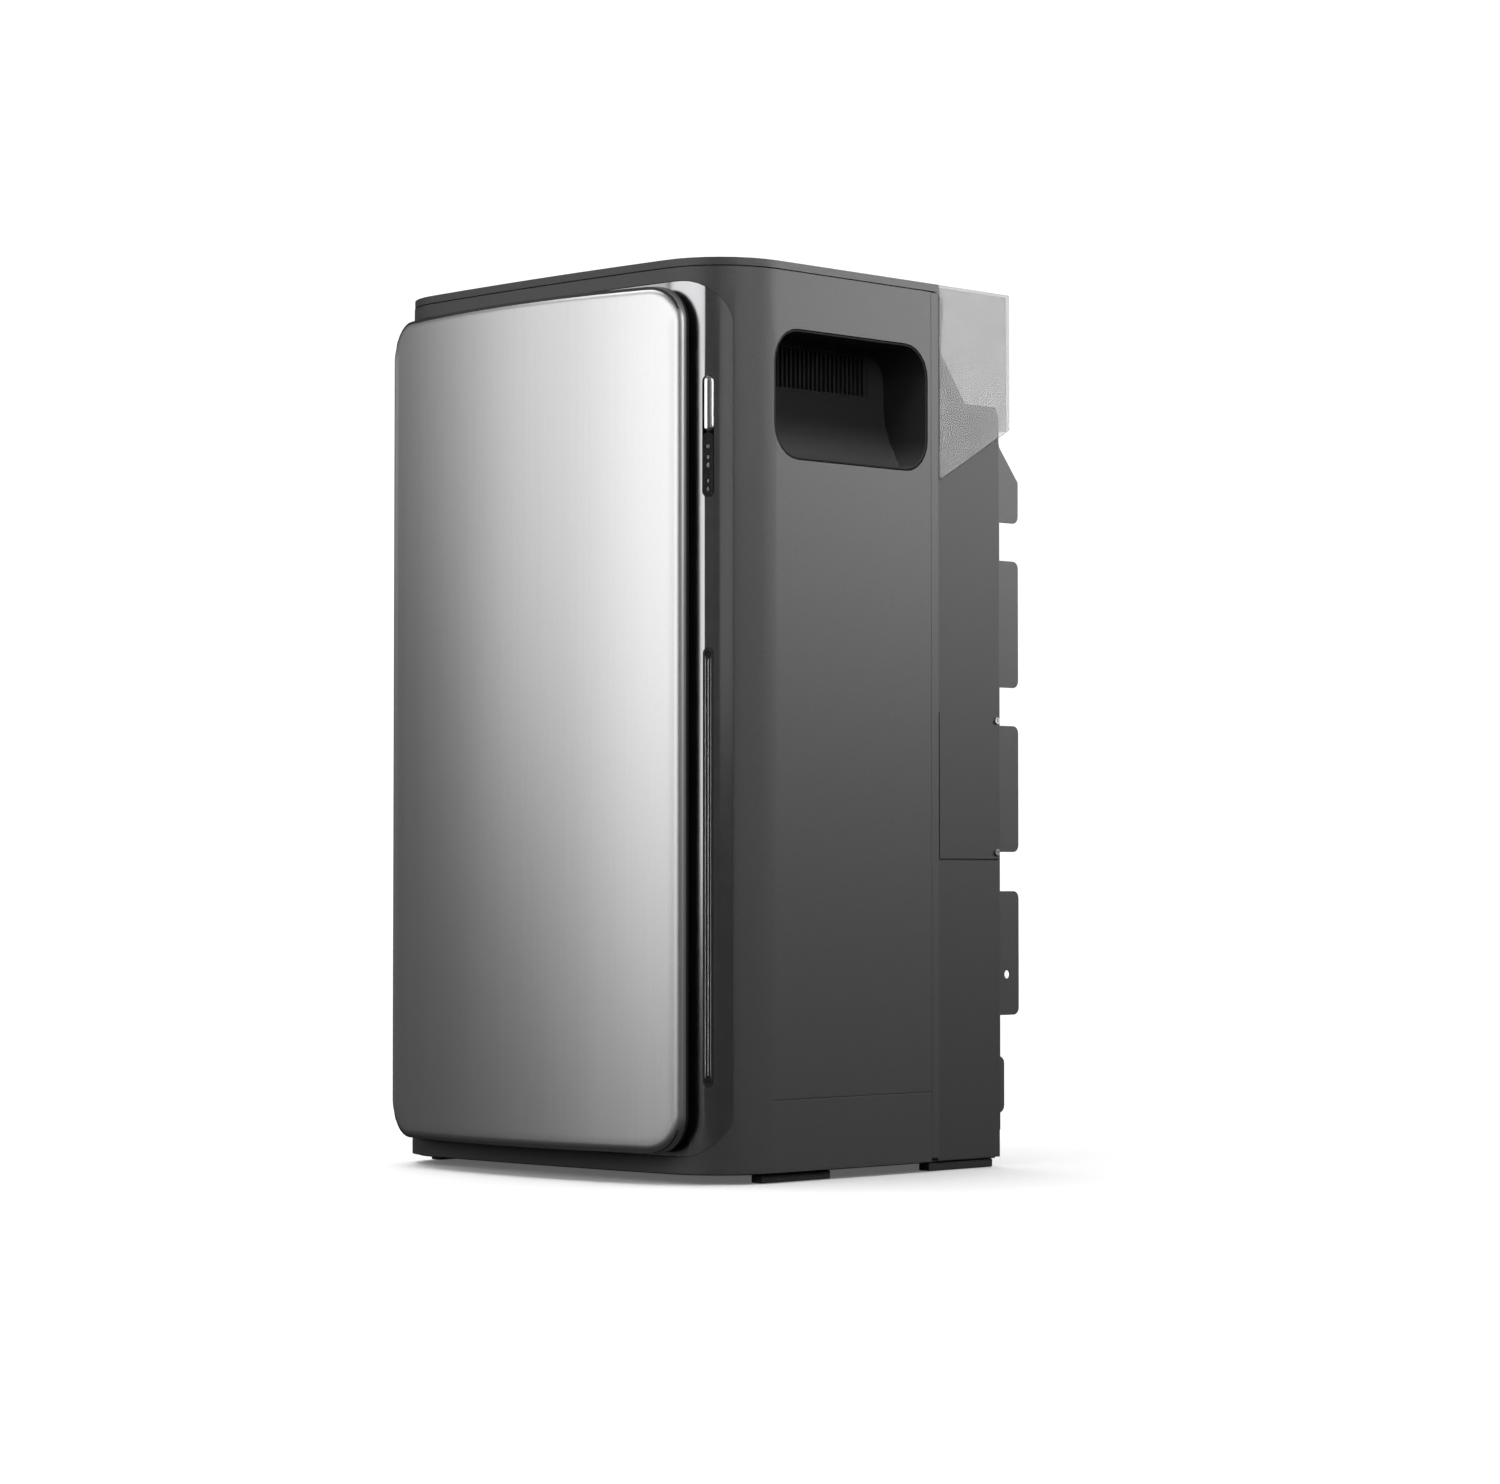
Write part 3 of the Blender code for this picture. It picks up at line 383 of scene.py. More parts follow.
def rubber():
    made = Finish("rubber", (0.014, 0.014, 0.014), Roughness=0.8)
    grain = made.noise(scale=700, detail=3.0)
    made.spread(grain, by=0.3)
    made.feed("Roughness", 0.7 + grain * 0.2)
    made.bump(grain, depth=0.0001, strength=0.5)
    return made.material


def zinc_plate():
    made = Finish("zinc plate", (0.50, 0.51, 0.53), Metallic=1.0, Roughness=0.35)
    spangle = made.noise(scale=500, detail=2.0)
    made.spread(spangle, by=0.15)
    made.feed("Roughness", 0.28 + spangle * 0.14)
    return made.material


def module_case():
    made = Finish("moulded module case", (0.13, 0.135, 0.14), Roughness=0.5)
    grain = made.noise(scale=900, detail=3.0)
    made.spread(grain, by=0.15)
    made.feed("Roughness", 0.42 + grain * 0.16)
    made.bump(grain, depth=0.0001, strength=0.4)
    return made.material


def painted_glint_rod():
    # Near-white rods: the colour is a painted glint, in place of the bright reflection along the light bar's
    # polished trims.
    made = Finish("painted glint rod", (0.85, 0.85, 0.86), Roughness=0.25, Coat_Weight=0.6)
    lines = made.noise(scale=900, detail=2.0)
    made.spread(lines, by=0.05)
    made.feed("Roughness", 0.2 + lines * 0.1)
    return made.material


def pale_print():
    made = Finish("pale print", (0.55, 0.56, 0.57), Roughness=0.5)
    grain = made.noise(scale=2500, detail=2.0)
    made.spread(grain, by=0.08)
    return made.material


FINISH_MAKERS = {
    "powder_coat": powder_coat,
    "brushed_steel": brushed_steel,
    "gloss_black": gloss_black,
    "chassis_coat": chassis_coat,
    "dark_window": dark_window,
    "black_plastic": matte_black,
    "smoked_polycarbonate": smoked_cover,
    "smoked_post": smoked_post,
    "polished_metal": polished_metal,
    "aluminium": aluminium,
    "copper": copper,
    "circuit_board": circuit_board,
    "rubber": rubber,
    "zinc_plate": zinc_plate,
    "module_case": module_case,
    "painted_glint_rod": painted_glint_rod,
    "pale_print": pale_print,
}
FINISHES = {}


def finish(slot):
    """The material of a slot, made the first time it is asked for."""
    if slot not in FINISHES:
        FINISHES[slot] = FINISH_MAKERS[slot]()
    return FINISHES[slot]


# ---------------------------------------------------------------- making pieces

CAD_MERGE = 2e-6  # points of a CAD mesh closer than this are one
GRID_MERGE = 1e-6  # and so are points of a grid
FLAT_ANGLE = math.radians(0.4)  # triangles that meet at less than this are one flat face
EVEN_WEIGHT = 50  # large and small faces count alike in a corner's normal
UP = np.array([0.0, 0.0, 1.0])

# how far sharp edges are eased
FINE_EDGE = 0.0003  # sheet metal, screws and small mouldings
PLATE_EDGE = 0.0005  # the surround, pegs and feet
TRAY_EDGE = 0.0006  # the base tray and the steel front's frame
MOULDED_EDGE = 0.0012  # thick mouldings


def paint(made, slot):
    """Gives a piece the finish of a slot and no other."""
    made.data.materials.clear()
    made.data.materials.append(finish(slot))


def coat(nodes):
    """Gives each CAD node the finish of its slot."""
    for node in nodes:
        paint(NODES[node], SLOT_OF[node])


def named(*starts):
    """The CAD nodes whose names begin with one of these."""
    return [node for node in NODES if node.startswith(starts)]


def settle(made, body, slot):
    """Gives a new piece its finish and has it move with a body."""
    paint(made, slot)
    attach(made, body)
    return made


def refined(node, edge, crease=30, segments=2, slot=None):
    """A CAD node with its triangles joined, its round faces shaded smooth and its edges eased.

    An edge is sharp where its faces meet at more than crease, in degrees, and is eased by edge, in metres.
    """
    bm = bmesh.new()
    bm.from_mesh(NODES[node].data)
    bmesh.ops.remove_doubles(bm, verts=bm.verts, dist=CAD_MERGE)
    bmesh.ops.dissolve_limit(bm, angle_limit=FLAT_ANGLE, verts=bm.verts, edges=bm.edges)
    mesh = bpy.data.meshes.new(node + "_finished")
    bm.to_mesh(mesh)
    bm.free()
    made = bpy.data.objects.new(node + "_finished", mesh)
    bpy.context.scene.collection.objects.link(made)
    # The CAD mesh carries normals for its own triangles, which no longer fit.
    for stale in ("custom_normal", "sharp_edge"):
        if stale in mesh.attributes:
            mesh.attributes.remove(mesh.attributes[stale])
    mesh.shade_smooth()
    mesh.set_sharp_from_angle(angle=math.radians(crease))
    if edge:
        bevel = made.modifiers.new("eased edges", "BEVEL")
        bevel.width = edge
        bevel.segments = segments
        bevel.limit_method = "ANGLE"
        bevel.angle_limit = math.radians(crease)
    level = made.modifiers.new("even shading", "WEIGHTED_NORMAL")
    level.keep_sharp = True
    level.weight = EVEN_WEIGHT
    settle(made, BODY_OF[node], slot or SLOT_OF[node])
    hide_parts(node)
    return made


def surface(name, grids, body, slot, close_round=True, crease=40):
    """A mesh over grids of points, each rows by columns by 3. close_round joins the last column to the first.

    Points that fall together are merged, so a row that shrinks to a line or a point is closed.
    """
    points, quads, start = [], [], 0
    for grid in grids:
        rows, columns = grid.shape[:2]
        index = start + np.arange(rows * columns).reshape(rows, columns)
        after = np.roll(index, -1, axis=1)
        if not close_round:
            index, after = index[:, :-1], after[:, :-1]
        quads.append(np.stack([index[:-1], after[:-1], after[1:], index[1:]], axis=-1).reshape(-1, 4))
        points.append(grid.reshape(-1, 3))
        start += rows * columns
    points, quads = np.concatenate(points), np.concatenate(quads)
    mesh = bpy.data.meshes.new(name)
    mesh.vertices.add(len(points))
    mesh.vertices.foreach_set("co", points.reshape(-1).astype(np.float32))
    mesh.loops.add(quads.size)
    mesh.loops.foreach_set("vertex_index", quads.reshape(-1))
    mesh.polygons.add(len(quads))
    mesh.polygons.foreach_set("loop_start", np.arange(0, quads.size, 4))
    mesh.update(calc_edges=True)
    mesh.validate()
    bm = bmesh.new()
    bm.from_mesh(mesh)
    bmesh.ops.remove_doubles(bm, verts=bm.verts, dist=GRID_MERGE)
    bmesh.ops.recalc_face_normals(bm, faces=bm.faces)
    bm.to_mesh(mesh)
    bm.free()
    mesh.shade_smooth()
    mesh.set_sharp_from_angle(angle=math.radians(crease))
    made = bpy.data.objects.new(name, mesh)
    bpy.context.scene.collection.objects.link(made)
    return settle(made, body, slot)


def turned(centre, axis, profile, steps=20):
    """A grid turned about an axis. The profile is a row of (distance along the axis, radius).

    Each point goes round a circle of its radius, in the plane square to the axis at its distance along it.
    """
    axis = np.array(axis, float)
    first = np.cross(axis, [0.0, 1.0, 0.0] if abs(axis[1]) < 0.9 else [1.0, 0.0, 0.0])
    first /= np.linalg.norm(first)
    second = np.cross(axis, first)
    turn = np.linspace(0, 2 * np.pi, steps, endpoint=False)
    ring = np.cos(turn)[:, None] * first + np.sin(turn)[:, None] * second
    along, radius = np.array(profile, float).T
    return np.array(centre) + along[:, None, None] * axis + radius[:, None, None] * ring


def rounded_loop(half_a, half_b, radius, arc, straight):
    """Points round a rectangle with round corners, for arrays of half sizes and radii, one loop per row.

    Each corner is a quarter circle about a centre one radius in from both sides, and each side is a straight
    run of evenly spaced points between two corners.
    """
    half_a, half_b, radius = (np.asarray(v, float)[:, None] for v in (half_a, half_b, radius))
    corners = []
    for quarter, (sa, sb) in enumerate(((1, 1), (-1, 1), (-1, -1), (1, -1))):
        turn = np.linspace(quarter * np.pi / 2, (quarter + 1) * np.pi / 2, arc)[None, :]
        a = sa * (half_a - radius) + radius * np.cos(turn)
        b = sb * (half_b - radius) + radius * np.sin(turn)
        corners.append(np.stack([a, b], axis=-1))
    runs = []
    for quarter in range(4):
        here, after = corners[quarter], corners[(quarter + 1) % 4]
        share = np.linspace(0, 1, straight + 2)[1:-1][None, :, None]
        runs += [here, here[:, -1:] * (1 - share) + after[:, :1] * share]
    return np.concatenate(runs, axis=1)


# ---------------------------------------------------------------- front panel


def front_panel():
    """The pressed steel front.

    Loops round the panel run from a middle line out to the edge, at the depth of a shallow parabola across
    the width. The last few follow a quarter circle, so the edge rolls back, go straight to the rear and turn
    in to a narrow lip.
    """
    low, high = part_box("front_panel_skin")
    half_x, half_z = (high.x - low.x) / 2, (high.z - low.z) / 2
    middle_z = (high.z + low.z) / 2
    roll, corner = sizes().panel_roll, sizes().panel_corner
    lip, lip_depth, least_corner = 0.0015, 0.002, 0.004
    rise = (high.y - roll) - low.y
    inner = half_x - (half_x - roll) * np.linspace(0, 1, 30)
    turn = np.linspace(0, np.pi / 2, 9)[1:]
    inset = np.concatenate([inner, roll * (1 - np.sin(turn)), [0.0, lip, lip]])
    sink = np.concatenate([inner * 0, roll * (1 - np.cos(turn)), [roll] * 3])
    radius = np.maximum(corner - inset, np.minimum(least_corner, half_x - inset))
    loop = rounded_loop(half_x - inset, half_z - inset, radius, arc=14, straight=40)
    x, z = loop[..., 0], loop[..., 1] + middle_z
    bow = low.y + rise * (np.minimum(np.abs(x), half_x - roll) / (half_x - roll)) ** 2
    y = bow + sink[:, None]
    y[-3:-1] = high.y
    y[-1] -= lip_depth
    grid = np.stack([x, y, z], axis=-1)
    made = surface("front_panel_steel", [grid], "front_panel", "brushed_steel", crease=50)
    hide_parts("front_panel_skin")
    refined("front_panel_frame", TRAY_EDGE, crease=25)


# ---------------------------------------------------------------- casing


def casing():
    """The wrapped front casing, its lid, the narrow band behind it and the tray underneath."""
    refined("front_casing", sizes().case_edge, crease=25)
    refined("top_lid", edge=0.0, crease=35)
    refined("seam_frame", edge=0.0)
    refined("base_tray", TRAY_EDGE)


def fascia():
    """The glossy surround between the casing and the steel front, with its four pegs."""
    refined("front_fascia", PLATE_EDGE, crease=25)
    for node in named("panel_peg"):
        refined(node, PLATE_EDGE)


# ---------------------------------------------------------------- controls


def corner_frame():
    """The outward and sideways directions of the corner that carries the controls."""
    press = next(j for j in frame["joints"] if j["name"] == "power_button_press")
    out = -np.array(press["axis"], float)
    out /= np.linalg.norm(out)
    return out, np.cross(UP, out)


def on_corner(node):
    """A node's centre line on the corner: its front face's middle, its lowest and highest points."""
    out, side = corner_frame()
    mesh = NODES[node].data
    points = np.empty(len(mesh.vertices) * 3, np.float32)
    mesh.vertices.foreach_get("co", points)
    points = points.reshape(-1, 3).astype(float)
    reach, across = points @ out, points @ side
    middle = out * reach.max() + side * (across.max() + across.min()) / 2
    return middle, points[:, 2].min(), points[:, 2].max()


def power_button():
    """The polished button.

    Loops round an upright pill run from its middle line to its edge, each pushed out by the height of a
    quarter ellipse at that distance from the edge. The last ones go straight back to the button's rear.
    """
    out, side = corner_frame()
    face, low, high = on_corner("power_button")
    half_z, half_a, dome = (high - low) / 2, 0.0058, sizes().button_dome
    skirt, rear = 0.002, 0.0052
    share = np.sin(np.linspace(0, np.pi / 2, 14))
    inset = np.concatenate([half_a * (1 - share), [0.0, 0.0]])
    crown = np.concatenate([dome * np.sqrt(1 - share**2), [-skirt, -rear]]) - dome
    radius = np.maximum(half_a - inset, GRID_MERGE)
    loop = rounded_loop(half_a - inset, half_z - inset, radius, arc=10, straight=6)
    centre = face + UP * (high + low) / 2
    grid = centre + loop[..., :1] * side + loop[..., 1:] * UP + crown[:, None, None] * out
    made = surface("power_button_cap", [grid], "button", "polished_metal", crease=60)
    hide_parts("power_button")


def sign_shapes():
    """The five small signs as strips between two lines of points, in units of a sign's half width.

    A ring lies between two circles, a bar between two level lines, a drop between a circle stretched upwards
    and its middle, and a bolt between its left and its right edge.
    """
    turn = np.linspace(0, 2 * np.pi, 25)
    circle = np.stack([np.cos(turn), np.sin(turn)], axis=-1)
    bar = np.array([[(-1.0, -0.2), (1.0, -0.2)], [(-1.0, 0.2), (1.0, 0.2)]])
    drop = circle * [0.8, 0.9] + [0.0, 0.25] * (1 + circle[:, 1:]) ** 2
    bolt_left = [(0.2, 1.3), (-0.8, -0.1), (-0.1, -0.15), (-0.3, -1.3)]
    bolt_right = [(0.5, 1.3), (0.1, 0.2), (0.8, 0.15), (-0.2, -1.3)]
    return (
        [np.stack([circle, circle * 0.62])],
        [bar + [0, 0.75], bar * [0.75, 1.0], bar * [0.45, 1.0] - [0, 0.75]],
        [np.stack([drop, drop * 0.55])],
        [np.array([bolt_left, bolt_right])],
        [np.stack([circle * [0.7, 1.1], circle * [0.42, 0.85]]), bar * [0.3, 1.0] + [0, 1.35]],
    )


def indicator_signs():
    """The signs behind the dark window: three together and two below them."""
    out, side = corner_frame()
    face, _, high = on_corner("indicator_lens")
    unit, ink_depth = sizes().sign_size, 0.0001
    below_top = (0.0148, 0.0262, 0.0353, 0.0513, 0.0604)
    grids = []
    for drop, strips in zip(below_top, sign_shapes()):
        centre = face + out * ink_depth + UP * (high - drop)
        grids += [centre + strip[..., :1] * unit * side + strip[..., 1:] * unit * UP for strip in strips]
    signs = surface("indicator_signs", grids, "cabinet", "pale_print", close_round=False)
    ink = signs.modifiers.new("ink", "SOLIDIFY")
    ink.thickness = ink_depth
    ink.offset = 0.0


def light_bar():
    """Three rods in a dark slot, coloured near-white as a painted glint of the bar's bright trims. The outer
    two lean outwards over their last few millimetres.
    """
    out, side = corner_frame()
    face, low, high = on_corner("light_bar_lens")
    margin, proud = 0.002, 0.0002
    along = np.array([0.0, 0.0005, 0.007, 0.012])
    thick = sizes().light_rod * np.array([0, 1, 1, 1, 1, 1, 1, 0])
    turn = np.linspace(0, 2 * np.pi, 8, endpoint=False)
    grids = []
    for place, lean, short in ((-0.0030, -0.0010, 0.0), (0.0001, 0.0, 0.006), (0.0030, 0.0010, 0.0)):
        z = np.concatenate([low + margin + short + along, high - margin - short - along[::-1]])
        bend = lean * np.array([1, 1, 0.2, 0, 0, 0.2, 1, 1])
        line = face + out * proud + (place + bend)[:, None] * side + z[:, None] * UP
        ring = np.cos(turn)[:, None] * side + np.sin(turn)[:, None] * out
        grids.append(line[:, None] + thick[:, None, None] * ring)
    # the rods' near-white finish is a painted glint
    surface("light_bar_rods", grids, "cabinet", "painted_glint_rod")


def controls():
    """Button, indicator window with its signs, light bar and the boards behind them."""
    power_button()
    refined("indicator_lens", MOULDED_EDGE, crease=40, segments=3, slot="dark_window")
    indicator_signs()
    refined("light_bar_bezel", FINE_EDGE, crease=40, slot="black_plastic")
    refined("light_bar_lens", MOULDED_EDGE, crease=40, segments=3, slot="dark_window")
    light_bar()
    coat(("control_housing", "control_board", "button_switch"))


# ---------------------------------------------------------------- vents


def vents():
    """Side scoops with their ribbed grilles, and the fans behind the right one."""
    for side in ("right", "left"):
        refined(f"vent_scoop_{side}", MOULDED_EDGE, crease=28, segments=3)
        refined(f"vent_grille_{side}", edge=0.0004)
    for row in ("front", "rear"):
        refined(f"fan_frame_{row}", FINE_EDGE)
        refined(f"fan_rotor_{row}", edge=0.0, crease=35)


# ---------------------------------------------------------------- rear

COVER_WALL = 0.0030
POST_X = 0.215  # from the middle to each of the cover's posts
POST_FROM_BACK = 0.0470
POST_FOOT = 0.0057  # a post's radius at its lower end
POST_END = 0.016  # height of that end over the deck
CAP_RADIUS = 0.0066
CAP_LENGTH = 0.006


def chassis():
    """Rear chassis, its screwed service cover, the wall brackets and their bolts."""
    refined("rear_chassis", edge=0.0008, crease=25, slot="chassis_coat")
    refined("side_access_cover", FINE_EDGE, slot="chassis_coat")
    for node in named("wall_bracket", "bracket_bolt", "access_cover_screw"):
        refined(node, FINE_EDGE)


def cable_cover():
    """The smoked cover, with the glands, terminals and breaker under it.

    Its two posts hang from its top and taper down to a short cap that stays clear of the deck.
    """
    refined("cable_cover", MOULDED_EDGE, segments=3)
    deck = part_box("terminal_block")[0].z
    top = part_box("cable_cover")[1].z - COVER_WALL
    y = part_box("rear_chassis")[1].y - POST_FROM_BACK
    hang = top - deck - POST_END
    post = [(0, 0), (0, sizes().post_top), (hang, POST_FOOT), (hang, 0)]
    cap = [(0, 0), (0, CAP_RADIUS), (CAP_LENGTH, CAP_RADIUS), (CAP_LENGTH, 0)]
    places, down = (POST_X, -POST_X), (0, 0, -1)
    posts = [turned((x, y, top), down, post) for x in places]
    caps = [turned((x, y, deck + POST_END), down, cap) for x in places]
    surface("cable_cover_posts", posts, "cable_cover", "smoked_post")
    surface("cable_cover_post_caps", caps, "cable_cover", "black_plastic")
    for node in ("cable_gland_a", "cable_gland_b", "terminal_block", "breaker_body", "breaker_lever"):
        refined(node, FINE_EDGE)


def inside():
    """Battery modules, busbars, inverter and boards."""
    coat(named("battery", "busbar", "inverter", "capacitor", "inductor"))


def feet():
    """Rubber feet."""
    for node in named("foot_"):
        refined(node, PLATE_EDGE)


# ---------------------------------------------------------------- stage

MIDDLE = (0.0, -0.2)
LAMP_DISTANCE = 2.6
FLOOR_GAP = 0.0005
FLOOR_RADIUS = 13.9
DOME_RADIUS = 14.0
FLOOR_GLOW = 0.1
DOME_GLOW = 1.1

# each soft box round the cabinet: its azimuth, its height, the height it aims at, its width and height, and
# its brightness
SOFT_BOXES = {
    "front soft box": (0, 1.2, 1.0, 2.5, 1.9, 2.1),
    "front left soft box": (-41, 1.35, 1.0, 1.0, 1.7, 1.25),
    "left soft box": (-62, 1.5, 1.0, 0.8, 1.3, 0.45),
    "right soft box": (55, 1.4, 1.0, 0.5, 1.7, 0.22),
    "far right soft box": (84, 1.6, 0.9, 0.4, 1.3, 7.5),
}


def lamp(name, place, aim, width, height, brightness):
    """A rectangular soft box whose face has the given brightness, in the floor's own white."""
    data = bpy.data.lights.new(name, "AREA")
    data.shape = "RECTANGLE"
    data.size = width
    data.size_y = height
    data.energy = brightness * math.pi * width * height
    made = bpy.data.objects.new(name, data)
    bpy.context.scene.collection.objects.link(made)
    made.location = place
    made.rotation_euler = (Vector(aim) - Vector(place)).to_track_quat("-Z", "Y").to_euler()
    made.visible_camera = False
    return made


def around(azimuth, distance, height, centre=MIDDLE):
    """A place round the cabinet. Azimuth is in degrees from straight ahead towards the button side."""
    turn = math.radians(azimuth)
    return (centre[0] + distance * math.sin(turn), centre[1] - distance * math.cos(turn), height)


def light_only(source, pieces, name):
    """The lamp lights only these pieces."""
    lit = bpy.data.collections.new(name)
    for piece in pieces:
        lit.objects.link(piece)
    source.light_linking.receiver_collection = lit


def camera():
    """A long lens off the front corner on the button side, a third of the way up the cabinet."""
    data = bpy.data.cameras.new("camera")
    data.sensor_width = 36
    data.lens = 98.35
    data.clip_end = 100
    made = bpy.data.objects.new("camera", data)
    bpy.context.scene.collection.objects.link(made)
    made.location = (3.3216, -3.2252, 0.3217)
    made.rotation_euler = (math.radians(91.91), 0.0, math.radians(44.92))
    bpy.context.scene.camera = made


def plain_finish(name, colour, glow):
    """A dull colour that also glows white."""
    white = (1.0, 1.0, 1.0, 1.0)
    return Finish(name, colour, Roughness=0.9, Emission_Color=white, Emission_Strength=glow).material


def backdrop():
    """A round pale floor and a white dome round it, which only the camera sees."""
    bm = bmesh.new()
    bmesh.ops.create_circle(bm, cap_ends=True, radius=FLOOR_RADIUS, segments=96)
    for vertex in bm.verts:
        vertex.co.z = FLOOR_Z - FLOOR_GAP
    floor_mesh = bpy.data.meshes.new("floor")
    bm.to_mesh(floor_mesh)
    bm.free()
    floor = bpy.data.objects.new("floor", floor_mesh)
    floor_mesh.materials.append(plain_finish("pale floor", colours().floor, FLOOR_GLOW))
    bm = bmesh.new()
    bmesh.ops.create_uvsphere(bm, u_segments=48, v_segments=24, radius=DOME_RADIUS)
    bmesh.ops.reverse_faces(bm, faces=bm.faces)
    dome_mesh = bpy.data.meshes.new("dome")
    bm.to_mesh(dome_mesh)
    bm.free()
    dome = bpy.data.objects.new("dome", dome_mesh)
    dome_mesh.materials.append(plain_finish("white dome", (0.0, 0.0, 0.0), DOME_GLOW))
    for piece in (floor, dome):
        bpy.context.scene.collection.objects.link(piece)
        piece.visible_diffuse = False
        piece.visible_glossy = False
        piece.visible_shadow = False
        piece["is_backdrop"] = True
    return floor


def ambience():
    """A dim even sky, darker below, for the shadow side."""
    world = bpy.data.worlds.new("studio")
    bpy.context.scene.world = world
    world.use_nodes = True
    sky = NodeTree(world.node_tree)
    where = sky.node("ShaderNodeTexCoord", output="Generated")
    height = sky.node("ShaderNodeSeparateXYZ", None, {"Vector": where}, output="Z")
    ends = {"From Min": -0.3, "From Max": 0.6, "To Min": 0.03, "To Max": 0.16}
    shade = sky.node("ShaderNodeMapRange", None, {"Value": height, **ends}, output="Result")
    sky.fill(sky.tree.nodes["Background"].inputs["Color"], shade)


def stage():
    """Camera, floor, white surround and soft lamps."""
    camera()
    floor = backdrop()
    ambience()
    bpy.context.scene.view_settings.view_transform = "Standard"
    for name, (azimuth, place_z, aim_z, width, height, brightness) in SOFT_BOXES.items():
        lamp(name, around(azimuth, LAMP_DISTANCE, place_z), (*MIDDLE, aim_z), width, height, brightness)
    lamp("top soft box", (-0.6, -1.0, 2.6), (0, -0.1, 0.95), width=1.2, height=1.2, brightness=2.6)
    data = bpy.data.lights.new("floor light", "SUN")
    data.energy = 3.5
    data.angle = math.radians(100)
    sun = bpy.data.objects.new("floor light", data)
    bpy.context.scene.collection.objects.link(sun)
    sun.rotation_euler = (math.radians(-14), math.radians(-14), 0)
    light_only(sun, [floor], "lit by the floor light")


def scoop_light():
    """A high soft box over the button side, for the scoops and their grilles alone."""
    scoops = [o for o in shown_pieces() if o.name.startswith(("vent_scoop", "vent_grille"))]
    place, aim = (0.85, -0.1, 2.1), (0.27, 0.0, 0.85)
    high = lamp("scoop soft box", place, aim, width=0.5, height=0.5, brightness=34.0)
    light_only(high, scoops, "lit by the scoop light")
    return scoops


def side_light():
    """The soft box behind the button side, which leaves out the steel front and the scoops."""
    place, aim = around(138, 1.6, 1.2, centre=(0.27, 0.0)), (0.27, 0.1, 0.8)
    source = lamp("side soft box", place, aim, width=0.8, height=0.9, brightness=9.8)
    dark = scoop_light()
    lit = [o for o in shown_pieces() if body_of(o) != ["front_panel"] and o not in dark]
    light_only(source, lit, "lit by the side light")


# ---------------------------------------------------------------- operators


class StageOperator(bpy.types.Operator):
    """Sets up the camera, the floor, the pale surround and the soft lamps."""

    bl_idname = "cabinet.stage"
    bl_label = "Stage"

    def execute(self, context):
        stage()
        return {"FINISHED"}


class FrontPanelOperator(bpy.types.Operator):
    """Forms the brushed steel front and its frame."""

    bl_idname = "cabinet.front_panel"
    bl_label = "Front panel"

    def execute(self, context):
        front_panel()
        return {"FINISHED"}


class CasingOperator(bpy.types.Operator):
    """Finishes the front casing, lid, seam band and tray."""

    bl_idname = "cabinet.casing"
    bl_label = "Casing"

    def execute(self, context):
        casing()
        return {"FINISHED"}


class FasciaOperator(bpy.types.Operator):
    """Finishes the glossy surround and the pegs that hold the front."""

    bl_idname = "cabinet.fascia"
    bl_label = "Fascia"

    def execute(self, context):
        fascia()
        return {"FINISHED"}


class ControlsOperator(bpy.types.Operator):
    """Forms the power button, window signs and light bar."""

    bl_idname = "cabinet.controls"
    bl_label = "Controls"

    def execute(self, context):
        controls()
        return {"FINISHED"}


class VentsOperator(bpy.types.Operator):
    """Finishes the side scoops, grilles and fans."""

    bl_idname = "cabinet.vents"
    bl_label = "Vents"

    def execute(self, context):
        vents()
        return {"FINISHED"}


class RearChassisOperator(bpy.types.Operator):
    """Finishes the rear chassis, service cover, wall brackets and their fixings."""

    bl_idname = "cabinet.rear_chassis"
    bl_label = "Rear chassis"

    def execute(self, context):
        chassis()
        return {"FINISHED"}


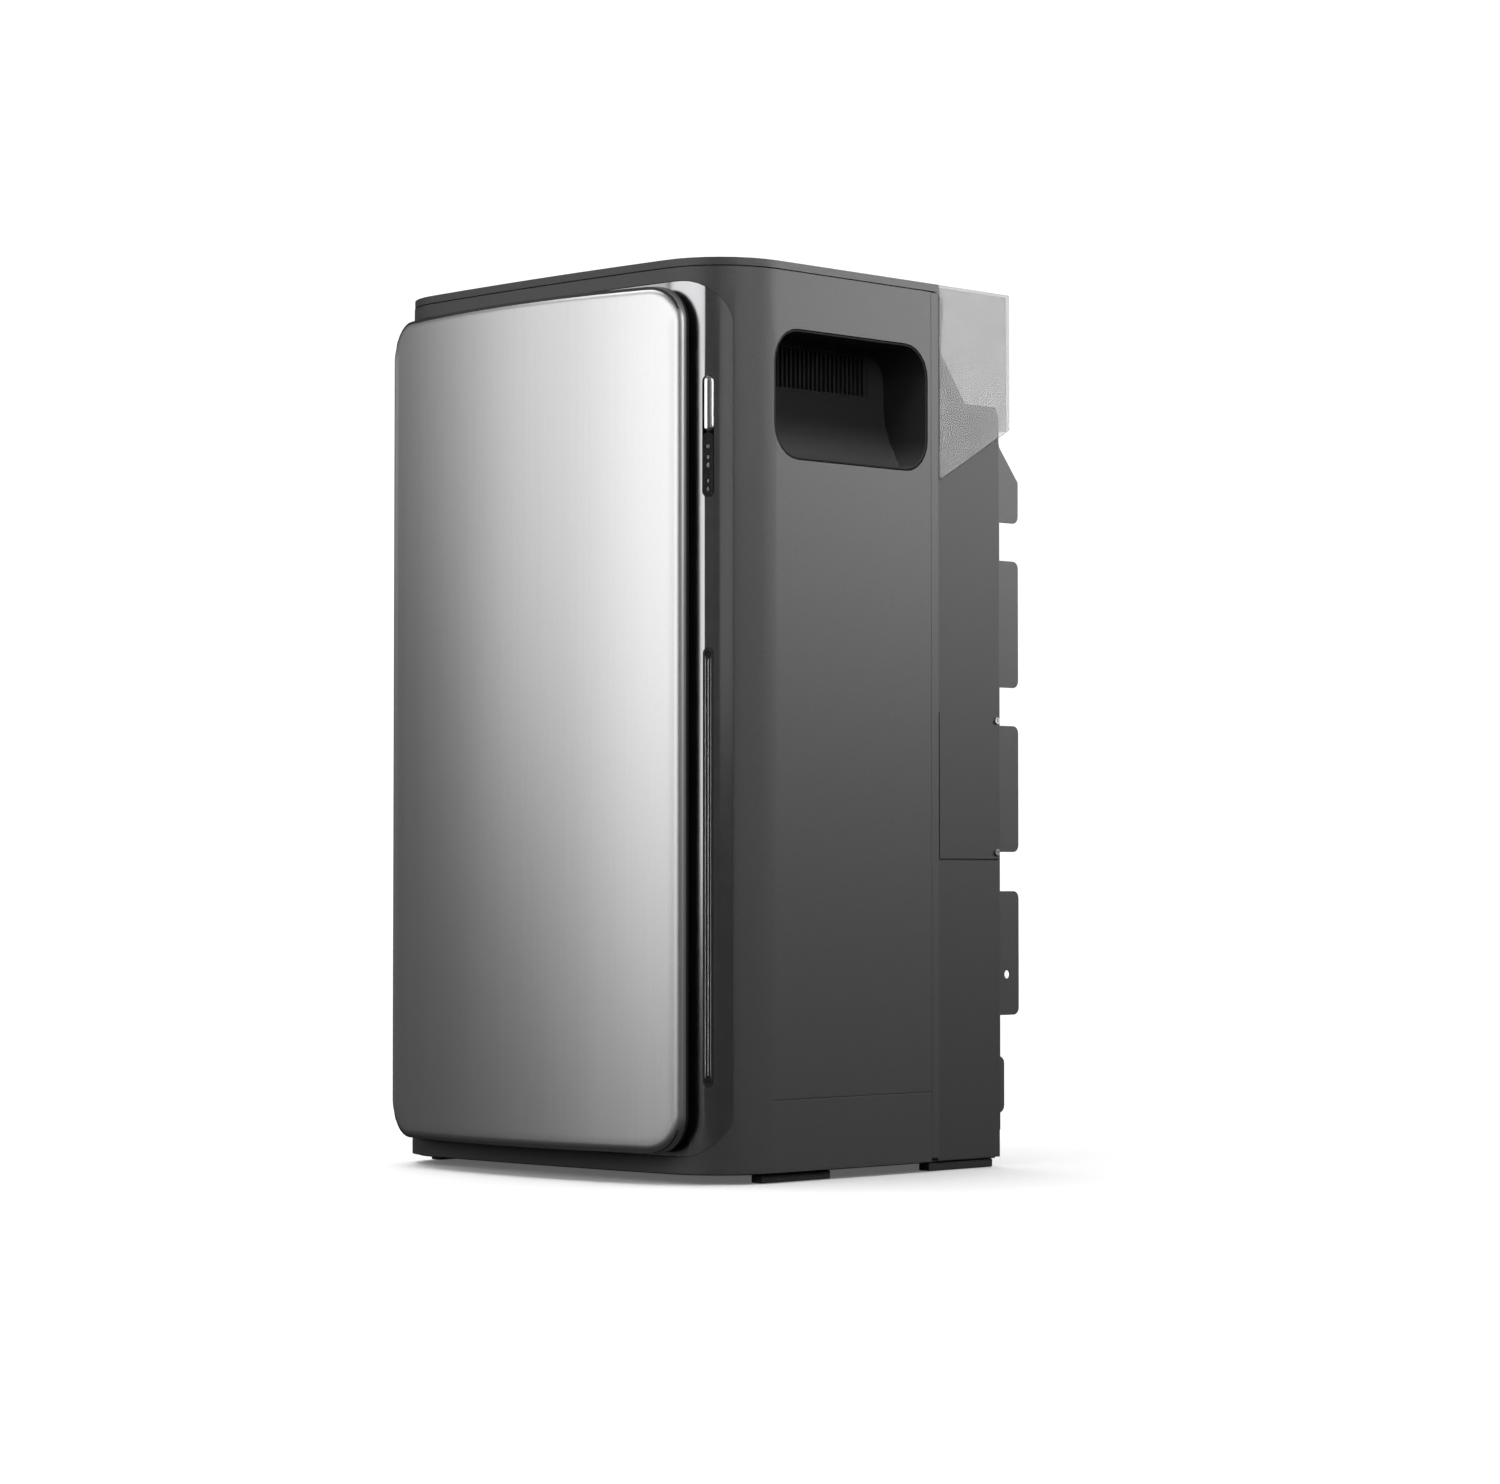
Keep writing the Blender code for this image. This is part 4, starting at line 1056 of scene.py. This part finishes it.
class CableCoverOperator(bpy.types.Operator):
    """Finishes the smoked cover, its posts and the wiring under it."""

    bl_idname = "cabinet.cable_cover"
    bl_label = "Cable cover"

    def execute(self, context):
        cable_cover()
        return {"FINISHED"}


class InsideOperator(bpy.types.Operator):
    """Finishes the battery modules, busbars, inverter and boards."""

    bl_idname = "cabinet.inside"
    bl_label = "Inside"

    def execute(self, context):
        inside()
        return {"FINISHED"}


class FeetOperator(bpy.types.Operator):
    """Finishes the rubber feet."""

    bl_idname = "cabinet.feet"
    bl_label = "Feet"

    def execute(self, context):
        feet()
        return {"FINISHED"}


class SideLightOperator(bpy.types.Operator):
    """Adds the lamps that light only some of the pieces."""

    bl_idname = "cabinet.side_light"
    bl_label = "Side light"

    def execute(self, context):
        side_light()
        return {"FINISHED"}


OPERATORS = (
    StageOperator,
    FrontPanelOperator,
    CasingOperator,
    FasciaOperator,
    ControlsOperator,
    VentsOperator,
    RearChassisOperator,
    CableCoverOperator,
    InsideOperator,
    FeetOperator,
    SideLightOperator,
)


class CabinetPanel(bpy.types.Panel):
    """Lists the sizes, the colours and the steps in the sidebar."""

    bl_idname = "CABINET_PT_sidebar"
    bl_label = "Energy storage cabinet"
    bl_space_type = "VIEW_3D"
    bl_region_type = "UI"
    bl_category = "Cabinet"

    def draw(self, context):
        for title, group in (("Sizes", sizes()), ("Colours", colours())):
            box = self.layout.box()
            box.label(text=title)
            for name in type(group).__annotations__:
                box.prop(group, name)
        for step in OPERATORS:
            self.layout.operator(step.bl_idname)


CLASSES = (CabinetSizes, CabinetColours, *OPERATORS, CabinetPanel)


def register():
    for made in CLASSES:
        bpy.utils.register_class(made)
    bpy.types.Scene.cabinet_sizes = bpy.props.PointerProperty(type=CabinetSizes)
    bpy.types.Scene.cabinet_colours = bpy.props.PointerProperty(type=CabinetColours)


def unregister():
    del bpy.types.Scene.cabinet_colours
    del bpy.types.Scene.cabinet_sizes
    for made in reversed(CLASSES):
        bpy.utils.unregister_class(made)


def main():
    """Runs every step in order."""
    register()
    for step in OPERATORS:
        group, name = step.bl_idname.split(".")
        getattr(getattr(bpy.ops, group), name)()


if __name__ == "__main__":
    main()
